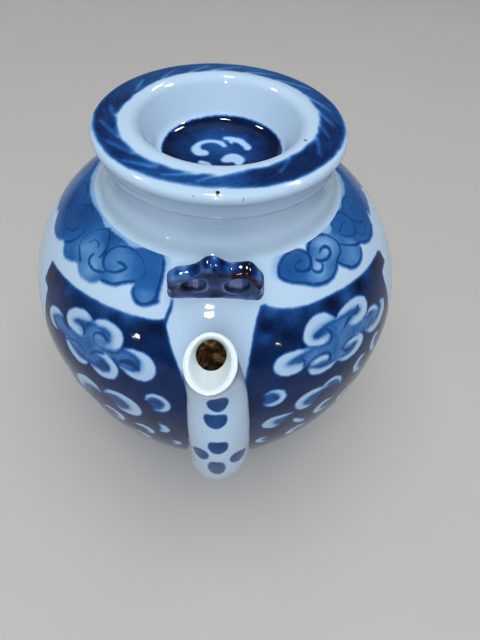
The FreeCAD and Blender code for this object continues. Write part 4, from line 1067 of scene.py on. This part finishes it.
def paint_spout(piece):
    """Half-round dots down the front, painted light on the lip and in the funnel just inside it, and a
    tea-stained bore.
    """
    spots = points_of(piece)
    x, y, z = spots.T
    normals = read(piece, "normal")
    dots = np.full(len(spots), UNPAINTED)
    for across, up, wide, tall, top, leaning in SPOUT_DOTS:
        aside = x - across - leaning * (z - up)
        round_off = (1 - np.hypot(aside / wide, (z - up) / tall)) * wide
        cut_off = top - z
        corner = np.maximum(DOT_CORNER - np.abs(round_off - cut_off), 0) ** 2 / (4 * DOT_CORNER)
        dots = np.maximum(dots, np.minimum(round_off, cut_off) - corner)
    lean, out = spout_line(z)
    outwards = (x - lean) * normals[:, 0] + (y - out) * normals[:, 1]
    front = ease(-normals[:, 1], 0.0, 0.3) * ease(outwards, -0.3, 0.3)
    mouth = np.array((spout_line(MOUTH.z)[0], MOUTH.y, MOUTH.z))
    upward = np.array((0.0, -math.sin(MOUTH_LEAN), math.cos(MOUTH_LEAN)))
    above = (spots - mouth) @ upward
    # Painted light: the lip's upward faces and the funnel just inside the mouth are marked to be coloured
    # paler, as if brightly lit
    rim = ease(above, -0.5, -0.1) * ease(normals @ upward, 0.15, 0.55)
    lit_funnel = ease(above, -4.5, -1.5) * ease(-outwards, 0.0, 0.3)
    keep(
        piece,
        dots=np.where(front > 0.5, np.clip(dots, UNPAINTED, DEEPEST), UNPAINTED),
        lip=np.maximum(rim, lit_funnel),
        stain=ease(-above, 0.1, 0.9) * ease(-outwards, -0.2, 0.4),
    )


# Pools and thin places of the lugs' cobalt, then rusty places: across, up, size and how much
LUG_POOLS = [
    (7.2, 97.5, 1.5, 0.5), (-1.9, 99.2, 0.8, 0.34), (1.6, 99.1, 0.8, 0.36), (0, 99.8, 0.7, -0.1),
    (-4.4, 96.8, 1.2, 0.18), (-7.1, 95.8, 1.2, -0.12), (-10, 94.4, 1.2, -0.18), (-1.4, 98.2, 0.8, -0.3),
    (-0.2, 98.7, 0.5, 0.4), (3.8, 97.4, 1.2, -0.12), (9.9, 95.5, 1.1, -0.14), (0, 95.2, 1.3, 0.2),
    (-5.6, 93.9, 1.4, -0.2), (-8.2, 93.4, 1.2, -0.18), (-2.4, 94.6, 0.8, -0.14), (0, 92, 1.5, -0.06),
    (0.3, 88.6, 1.5, 0.34), (3, 87, 1.2, -0.26), (6, 86.9, 1.4, -0.28), (9, 87.1, 1.2, -0.24),
    (-7.5, 86.7, 1.3, -0.26), (-4, 87, 1.2, -0.1), (-7.4, 90, 1.3, 0.36), (-10.4, 90.6, 1.2, 0.3),
    (8.6, 91.4, 1.2, 0.2), (10.6, 91.2, 1.3, 0.2), (4.6, 96.2, 1.2, 0.22), (7.4, 95.6, 1.2, 0.24),
    (-1.6, 96.4, 1.1, 0.2), (1.2, 96.8, 1.1, 0.22),
]
LUG_RUST = [
    (2.4, 96.6, 1, 0.8), (4.6, 96.2, 1.1, 1), (6.8, 95.9, 1.1, 1), (8.6, 94.8, 1.1, 0.9),
    (9.6, 92.8, 1.3, 0.8), (10.4, 90.6, 1.1, 0.7), (-10, 90.8, 1.2, 0.9), (-7.4, 89.9, 1.1, 0.7),
    (-3.4, 95.2, 0.8, 0.4),
]
# How deep the cobalt lies on the whole, and how much lower than the eyes its hollow colour sits
POOL_DEPTH = 0.46
EYE_SAG = 0.27


def paint_lug(piece):
    """How deep the cobalt glaze lies: thin on proud edges and in the eyes, deep in the hollows."""
    spots = points_of(piece)
    x, y, z = spots.T
    facing = math.copysign(1.0, y[0])
    form = bmesh.new()
    form.from_mesh(piece.data)
    outward = np.array([vert.normal for vert in form.verts])
    rub(form, form.verts, rounds=40)
    eased = np.array([vert.co for vert in form.verts]) / MM
    form.free()
    proud = ((spots - eased) * outward).sum(axis=1)
    way = np.array(eye_way(facing))
    apart = np.full(len(spots), FAR)
    forward = np.zeros(len(spots))
    for side in (-1, 1):
        off = spots - np.array((side * LUG_EYE.x, facing * LUG_EYE.y, LUG_EYE.z - EYE_SAG))
        along = off @ way
        aside = np.linalg.norm(off - np.outer(along, way), axis=1)
        forward = np.where(aside < apart, along, forward)
        apart = np.minimum(apart, aside)
    wall = 1 - ease(apart, 2.7, 3.2)
    # Painted shade: the upright faces and the eyes' walls take a darker, greyer slate than the top, as if
    # less lit
    top = ease(outward[:, 2], 0.2, 0.7) * (1 - wall)
    across = x * -facing
    edge = np.exp(-(((apart - 3.3) / 0.4) ** 2)) * ease(6.5 - np.abs(across), 0.0, 2.0)
    ridge = np.exp(-(((outward[:, 2] - 0.32) / 0.1) ** 2)) * ease(1.0 - across, 0.0, 2.0)
    face = Skin(across, z, None, flat)
    depth = POOL_DEPTH + dabbed(face, LUG_POOLS) - 0.5 * np.clip(proud, -0.25, 0.25)
    keep(
        piece,
        pool=depth - wall * (0.2 - 0.4 * ease(forward, 0.4, 1.4)),
        hollow=wall,
        face=1 - top,
        thin=np.maximum(edge * (1 - top), 0.7 * ridge) * (1 - wall),
        rust=np.clip(dabbed(face, LUG_RUST), 0, 1),
    )


# Finishes


def join(tree, made, wires):
    """Join a node's inputs to sockets, or set them to plain values."""
    for where, what in wires.items():
        if isinstance(what, bpy.types.NodeSocket):
            tree.links.new(what, made.inputs[where])
        else:
            made.inputs[where].default_value = what


def put(tree, kind, wires=None, **settings):
    """A shader node with its settings and its inputs."""
    made = tree.nodes.new(kind)
    for name, setting in settings.items():
        setattr(made, name, setting)
    join(tree, made, wires or {})
    return made


def reckon(tree, operation, first, second=0.0):
    return put(tree, "ShaderNodeMath", {0: first, 1: second}, operation=operation).outputs[0]


def plus(tree, first, second):
    return reckon(tree, "ADD", first, second)


def times(tree, first, second):
    return reckon(tree, "MULTIPLY", first, second)


def grouped(tree, group, wires=None):
    """The outputs of a shared effect."""
    return put(tree, "ShaderNodeGroup", wires, node_tree=group).outputs


def blended(tree, share, first, second):
    """One colour over another by a share."""
    wires = {0: share, 6: first, 7: second}
    return put(tree, "ShaderNodeMix", wires, data_type="RGBA").outputs[2]


def place_in(tree):
    """Where a point of the piece lies, in metres."""
    return put(tree, "ShaderNodeTexCoord").outputs["Object"]


def height_in(tree):
    return put(tree, "ShaderNodeSeparateXYZ", {0: place_in(tree)}).outputs["Z"]


def stored(tree, name):
    """A number that was stored at the points of the piece."""
    return put(tree, "ShaderNodeAttribute", attribute_name=name).outputs["Fac"]


def mottle(tree, scale, detail=3.0, rough=0.55):
    """Cloudy variation, from nought to one, at so many patches to the metre."""
    wires = {"Vector": place_in(tree), "Scale": scale, "Detail": detail, "Roughness": rough}
    return put(tree, "ShaderNodeTexNoise", wires).outputs["Fac"]


def swing(tree, amount, size):
    """Variation of a given size either side of nought."""
    return times(tree, reckon(tree, "SUBTRACT", amount, 0.5), size)


def ramp(tree, amount, stops):
    """Colours that follow an amount through some stops."""
    made = put(tree, "ShaderNodeValToRGB", {"Fac": amount})
    stock = made.color_ramp.elements
    while len(stock) < len(stops):
        stock.new(0.5)
    for element, (where, colour) in zip(stock, stops):
        element.position = where
        element.color = (*colour, 1.0)
    return made.outputs["Color"]


def slope(tree, amount, low, high):
    """A smooth step from nought at low to one at high."""
    wires = {"Value": amount, "From Min": low, "From Max": high}
    return put(tree, "ShaderNodeMapRange", wires, interpolation_type="SMOOTHSTEP").outputs["Result"]


def new_group(name, inputs, outputs):
    """An empty shared effect, and what it is given."""
    group = bpy.data.node_groups.new(name, "ShaderNodeTree")
    for label, start in inputs:
        socket = group.interface.new_socket(label, in_out="INPUT", socket_type="NodeSocketFloat")
        socket.default_value = start
    for label, kind in outputs:
        group.interface.new_socket(label, in_out="OUTPUT", socket_type=kind)
    return group, put(group, "NodeGroupInput").outputs


def make_brush_edge():
    """Cover of a brush stroke from its depth in millimetres: an edge that wanders and bleeds."""
    group, given = new_group(
        "brush_edge", [("Depth", 0.0), ("Bleed", 0.3), ("Wander", 0.5)], [("Cover", "NodeSocketFloat")]
    )
    wander = swing(group, mottle(group, 620.0, 4.0, 0.6), given["Wander"])
    depth = plus(group, given["Depth"], wander)
    low = times(group, given["Bleed"], -1.0)
    put(group, "NodeGroupOutput", {"Cover": slope(group, depth, low, given["Bleed"])})
    return group


def make_cobalt():
    """Colour of cobalt under the glaze, from bare glaze at nought to the darkest pool at one."""
    group, given = new_group("cobalt", [("Density", 0.0)], [("Colour", "NodeSocketColor")])
    breath = swing(group, mottle(group, 38.0, 2.0), 0.05)
    density = plus(group, given["Density"], breath)
    colour = ramp(
        group,
        density,
        [
            (0.0, (0.51, 0.69, 0.895)),
            (0.20, (0.25, 0.45, 0.76)),
            (0.36, (0.10, 0.27, 0.56)),
            (0.52, (0.022, 0.125, 0.40)),
            (0.66, (0.012, 0.068, 0.25)),
            (0.82, (0.005, 0.026, 0.115)),
            (1.0, (0.0024, 0.008, 0.035)),
        ],
    )
    put(group, "NodeGroupOutput", {"Colour": colour})
    return group


def make_glaze_skin():
    """The glaze's own surface: slow ripples, small pits, and gloss that varies a little."""
    group, _ = new_group(
        "glaze_skin", [], [("Height", "NodeSocketFloat"), ("Roughness", "NodeSocketFloat")]
    )
    ripple = mottle(group, 95.0, 2.0)
    peel = mottle(group, 900.0, 2.0)
    pits = slope(group, mottle(group, 1900.0, 1.0), 0.76, 0.84)
    height = plus(group, ripple, times(group, peel, 0.03))
    height = reckon(group, "SUBTRACT", height, times(group, pits, 0.12))
    rough = plus(group, times(group, mottle(group, 240.0), 0.04), 0.03)
    put(group, "NodeGroupOutput", {"Height": height, "Roughness": rough})
    return group


BRUSH_EDGE = make_brush_edge()
COBALT = make_cobalt()
GLAZE_SKIN = make_glaze_skin()
# Colours over the glaze or in it: iron specks, pooled glaze, painted light on the spout's lip, thin edges,
# rust and dust
IRON = (0.035, 0.02, 0.012, 1.0)
POOLED = (0.30, 0.44, 0.54, 1.0)
LIP_PAINTED_LIGHT = (0.82, 0.955, 1.0, 1.0)
LILAC = (0.24, 0.22, 0.34, 1.0)
RUST = (0.024, 0.007, 0.009, 1.0)
DUST = (0.30, 0.25, 0.20, 1.0)
GLAZE_IOR = 1.38


def cover(tree, mark, bleed, wander):
    """How far a stored brush mark covers the glaze, with an edge that bleeds and wanders."""
    wires = {"Depth": stored(tree, mark), "Bleed": bleed, "Wander": wander}
    return grouped(tree, BRUSH_EDGE, wires)["Cover"]


def cobalt(tree, density):
    """Cobalt under the glaze, or bare glaze where its density is nought."""
    return grouped(tree, COBALT, {"Density": density})["Colour"]


def new_finish(name):
    finish = bpy.data.materials.new(name)
    finish.use_nodes = True
    return finish, finish.node_tree, finish.node_tree.nodes["Principled BSDF"]


def glaze_over(tree, shader, colour, gleam=0.32):
    """A clear, hard glaze over a colour, duller in hollows that no cloth polishes."""
    skin = grouped(tree, GLAZE_SKIN)
    dull = times(tree, stored(tree, "hollow"), 0.36)
    bump = put(tree, "ShaderNodeBump", {"Height": skin["Height"], "Strength": 0.5, "Distance": 0.0004})
    wires = {
        "Base Color": colour,
        "Roughness": plus(tree, skin["Roughness"], dull),
        "Normal": bump.outputs["Normal"],
        "IOR": GLAZE_IOR,
        "Specular IOR Level": gleam,
    }
    join(tree, shader, wires)


def make_painted_glaze():
    """Cobalt brushwork under the glaze: panels, cloud washes and lines over them, with iron specks."""
    finish, tree, shader = new_finish("painted_glaze")
    patch = mottle(tree, 150.0, 3.0, 0.6)
    heap = mottle(tree, 900.0, 3.0, 0.65)
    blot = plus(tree, swing(tree, patch, 0.34), swing(tree, heap, 0.16))
    panel = cover(tree, "ground", 0.5, 0.6)
    cloud = cover(tree, "cloud", 0.65, 0.8)
    line = cover(tree, "line", 0.68, 0.6)
    dark = times(tree, panel, plus(tree, stored(tree, "tone"), blot))
    bare = times(tree, reckon(tree, "SUBTRACT", 1.0, panel), stored(tree, "shade"))
    dark = plus(tree, dark, bare)
    wash = times(tree, cloud, plus(tree, stored(tree, "wash"), times(tree, blot, 0.55)))
    drawn = times(tree, line, plus(tree, times(tree, blot, 0.5), 0.72))
    density = reckon(tree, "MAXIMUM", reckon(tree, "MAXIMUM", dark, wash), drawn)
    colour = cobalt(tree, density)
    speck = cover(tree, "speck", 0.14, 0.4)
    glaze_over(tree, shader, blended(tree, speck, colour, IRON))
    return finish


def make_white_glaze():
    """Bare glaze for the neck, a little greener where it has pooled round the foot and under the rim."""
    finish, tree, shader = new_finish("white_glaze")
    height = plus(tree, height_in(tree), swing(tree, mottle(tree, 160.0), 0.0012))
    foot = slope(tree, height, (SHOULDER_TOP + 3.4) * MM, (SHOULDER_TOP + 1.0) * MM)
    edge = slope(tree, height, (SHOULDER_TOP - 0.4) * MM, (SHOULDER_TOP + 0.7) * MM)
    foot = times(tree, foot, edge)
    seam = slope(tree, height, (SEAT - 1.0) * MM, (SEAT - 0.3) * MM)
    pool = reckon(tree, "MAXIMUM", times(tree, foot, 0.5), times(tree, seam, 0.6))
    glaze_over(tree, shader, blended(tree, pool, cobalt(tree, 0.0), POOLED))
    return finish


def make_spout_glaze():
    """Bare glaze with cobalt dots, painted paler on the lip as light, and stained brown by tea inside."""
    finish, tree, shader = new_finish("spout_glaze")
    dots = cover(tree, "dots", 0.3, 0.4)
    blot = swing(tree, mottle(tree, 380.0), 0.3)
    density = times(tree, dots, plus(tree, blot, 0.68))
    colour = cobalt(tree, density)
    brown = ramp(
        tree,
        mottle(tree, 460.0, 4.0),
        [(0.34, (0.018, 0.010, 0.006)), (0.54, (0.09, 0.047, 0.02)), (0.72, (0.44, 0.29, 0.15))],
    )
    # The lip's paler colour is painted light on its upper faces and in its funnel
    colour = blended(tree, stored(tree, "lip"), colour, LIP_PAINTED_LIGHT)
    glaze_over(tree, shader, blended(tree, stored(tree, "stain"), colour, brown))
    return finish


def make_cobalt_glaze():
    """Cobalt glaze on the lugs: blue on top, a darker greyer slate painted on the upright faces as shade,
    lilac on thin edges and rusty in places.
    """
    finish, tree, shader = new_finish("cobalt_glaze")
    patch = swing(tree, mottle(tree, 480.0, 3.0), 0.5)
    depth = plus(tree, stored(tree, "pool"), patch)
    blue = ramp(
        tree,
        depth,
        [
            (0.0, (0.17, 0.32, 0.55)),
            (0.24, (0.07, 0.21, 0.46)),
            (0.44, (0.007, 0.046, 0.23)),
            (0.64, (0.005, 0.014, 0.07)),
            (0.84, (0.004, 0.005, 0.013)),
        ],
    )
    # Painted shade for the upright faces: a darker, greyer copy of the top's blue
    shaded_slate = ramp(
        tree,
        depth,
        [
            (0.08, (0.13, 0.20, 0.42)),
            (0.30, (0.052, 0.10, 0.28)),
            (0.47, (0.019, 0.046, 0.165)),
            (0.74, (0.005, 0.008, 0.022)),
        ],
    )
    worn = plus(tree, stored(tree, "thin"), swing(tree, mottle(tree, 700.0), 0.5))
    spots = plus(tree, stored(tree, "rust"), swing(tree, mottle(tree, 520.0), 0.6))
    colour = blended(tree, stored(tree, "face"), blue, shaded_slate)
    colour = blended(tree, slope(tree, worn, 0.3, 1.1), colour, LILAC)
    colour = blended(tree, slope(tree, spots, 0.2, 0.9), colour, RUST)
    glaze_over(tree, shader, colour, 0.28)
    return finish


def make_bare_porcelain():
    """Unglazed porcelain, dry, faintly ringed from the wheel and dusty where it stands."""
    finish, tree, shader = new_finish("bare_porcelain")
    grain = mottle(tree, 700.0, 5.0, 0.7)
    clay = ramp(
        tree,
        plus(tree, times(tree, grain, 0.5), mottle(tree, 60.0)),
        [(0.45, (0.52, 0.42, 0.31)), (0.62, (0.68, 0.60, 0.50)), (0.95, (0.76, 0.72, 0.64))],
    )
    rings = put(
        tree,
        "ShaderNodeTexWave",
        {"Vector": place_in(tree), "Scale": 520.0, "Distortion": 1.5, "Detail": 2.0},
        bands_direction="Z",
    ).outputs["Fac"]
    rough = plus(tree, times(tree, grain, 0.25), 0.55)
    relief = plus(tree, times(tree, rings, 0.4), grain)
    bump = put(tree, "ShaderNodeBump", {"Height": relief, "Strength": 0.35, "Distance": 0.0002})
    dust = plus(tree, height_in(tree), swing(tree, grain, 0.0006))
    soil = slope(tree, dust, 0.0007, 0.0)
    colour = blended(tree, times(tree, soil, 0.35), clay, DUST)
    join(tree, shader, {"Base Color": colour, "Roughness": rough, "Normal": bump.outputs["Normal"]})
    return finish


PAINTED_GLAZE = make_painted_glaze()
WHITE_GLAZE = make_white_glaze()
SPOUT_GLAZE = make_spout_glaze()
COBALT_GLAZE = make_cobalt_glaze()
BARE_PORCELAIN = make_bare_porcelain()


# The teapot

fire(throw_upper_body(), "upper_body", "pot", PAINTED_GLAZE, paint_pot)
fire(throw_lower_body(), "lower_body", "pot", PAINTED_GLAZE, paint_pot)
fire(throw_neck_collar(), "neck_collar", "pot", WHITE_GLAZE)
fire(throw_foot_ring(), "foot_ring", "pot", BARE_PORCELAIN)
fire(throw_lid_dish(), "lid_dish", "lid", PAINTED_GLAZE, paint_lid)
fire(throw_lid_flange(), "lid_flange", "lid", BARE_PORCELAIN)
fire(model_spout(), "spout", "pot", SPOUT_GLAZE, paint_spout, crease=80.0)
for lug in ("front_lug", "rear_lug"):
    fire(model_lug(lug), lug, "pot", COBALT_GLAZE, paint_lug, crease=80.0)


# Floor, light and camera


def lay_floor():
    form = bmesh.new()
    bmesh.ops.create_grid(form, x_segments=1, y_segments=1, size=3.0)
    floor = new_object("floor", form)
    finish, tree, shader = new_finish("pale_floor")
    tone = ramp(tree, mottle(tree, 3.0), [(0.3, (0.53, 0.525, 0.515)), (0.7, (0.56, 0.555, 0.545))])
    join(tree, shader, {"Base Color": tone, "Roughness": 0.7, "Specular IOR Level": 0.0})
    floor.data.materials.append(finish)


# Square lamps: name, direction from the pot's middle, distance and size in metres, watts, and whether
# the lamp gives soft light alone or else a glint in the glaze alone
LAMPS = [
    ("soft_ceiling", (0.0, -0.08, 1.0), 1.2, 1.4, 13.0, True),
    ("soft_front", (-0.05, -0.76, 0.65), 1.3, 0.5, 6.0, True),
    ("window_high", (-0.06, -0.66, 0.75), 1.3, 0.06, 2.4, False),
    ("window_low", (-0.06, -0.74, 0.67), 1.3, 0.08, 4.0, False),
    ("window_sill", (0.02, -0.895, 0.43), 1.3, 0.05, 2.0, False),
    ("left_lamp", (-0.68, -0.71, 0.18), 1.1, 0.04, 1.0, False),
    ("right_lamp", (0.55, -0.81, 0.21), 1.1, 0.02, 0.25, False),
    ("left_ceiling", (-0.50, 0.25, 0.83), 1.3, 0.13, 9.0, False),
    ("right_ceiling", (0.55, 0.15, 0.82), 1.3, 0.13, 8.0, False),
    ("back_ceiling", (0.27, 0.55, 0.79), 1.3, 0.10, 6.0, False),
    ("middle_ceiling", (-0.05, 0.12, 0.99), 1.3, 0.12, 8.0, False),
]
POT_MIDDLE = Vector((0.0, 0.0, 0.06))


def hang_lamp(name, towards, distance, size, watts, soft):
    way = Vector(towards).normalized()
    light = bpy.data.lights.new(name, "AREA")
    light.size = size
    light.energy = watts
    lamp = bpy.data.objects.new(name, light)
    turn = way.to_track_quat("Z", "Y").to_matrix().to_4x4()
    lamp.matrix_world = Matrix.Translation(POT_MIDDLE + way * distance) @ turn
    lamp.visible_diffuse = soft
    lamp.visible_glossy = not soft
    bpy.context.scene.collection.objects.link(lamp)


def set_daylight(colour, strength):
    world = bpy.data.worlds.new("studio")
    world.use_nodes = True
    sky = world.node_tree.nodes["Background"]
    sky.inputs["Color"].default_value = (*colour, 1.0)
    sky.inputs["Strength"].default_value = strength
    bpy.context.scene.world = world


def stand_camera():
    """The photograph's eye: close above the spout, looking steeply down, a little turned and tilted."""
    eye = Vector((1.714, -122.72, 175.74)) * MM
    pitch = 0.877
    heading = 0.0570
    tilt = 0.070
    ahead = Vector(
        (
            math.sin(heading) * math.cos(pitch),
            math.cos(heading) * math.cos(pitch),
            -math.sin(pitch),
        )
    )
    level = ahead.cross(Vector((0, 0, 1))).normalized()
    over = level.cross(ahead)
    right = level * math.cos(tilt) + over * math.sin(tilt)
    upright = over * math.cos(tilt) - level * math.sin(tilt)
    lens = bpy.data.cameras.new("photograph")
    lens.sensor_fit = "VERTICAL"
    lens.sensor_height = 36.0
    lens.lens = 28.125
    lens.clip_start = 0.01
    camera = bpy.data.objects.new("photograph", lens)
    turn = Matrix((right, upright, -ahead)).transposed().to_4x4()
    camera.matrix_world = Matrix.Translation(eye) @ turn
    bpy.context.scene.collection.objects.link(camera)
    bpy.context.scene.camera = camera


lay_floor()
for lamp in LAMPS:
    hang_lamp(*lamp)
set_daylight((0.93, 0.965, 1.0), 0.1)
stand_camera()
bpy.context.scene.view_settings.view_transform = "Standard"
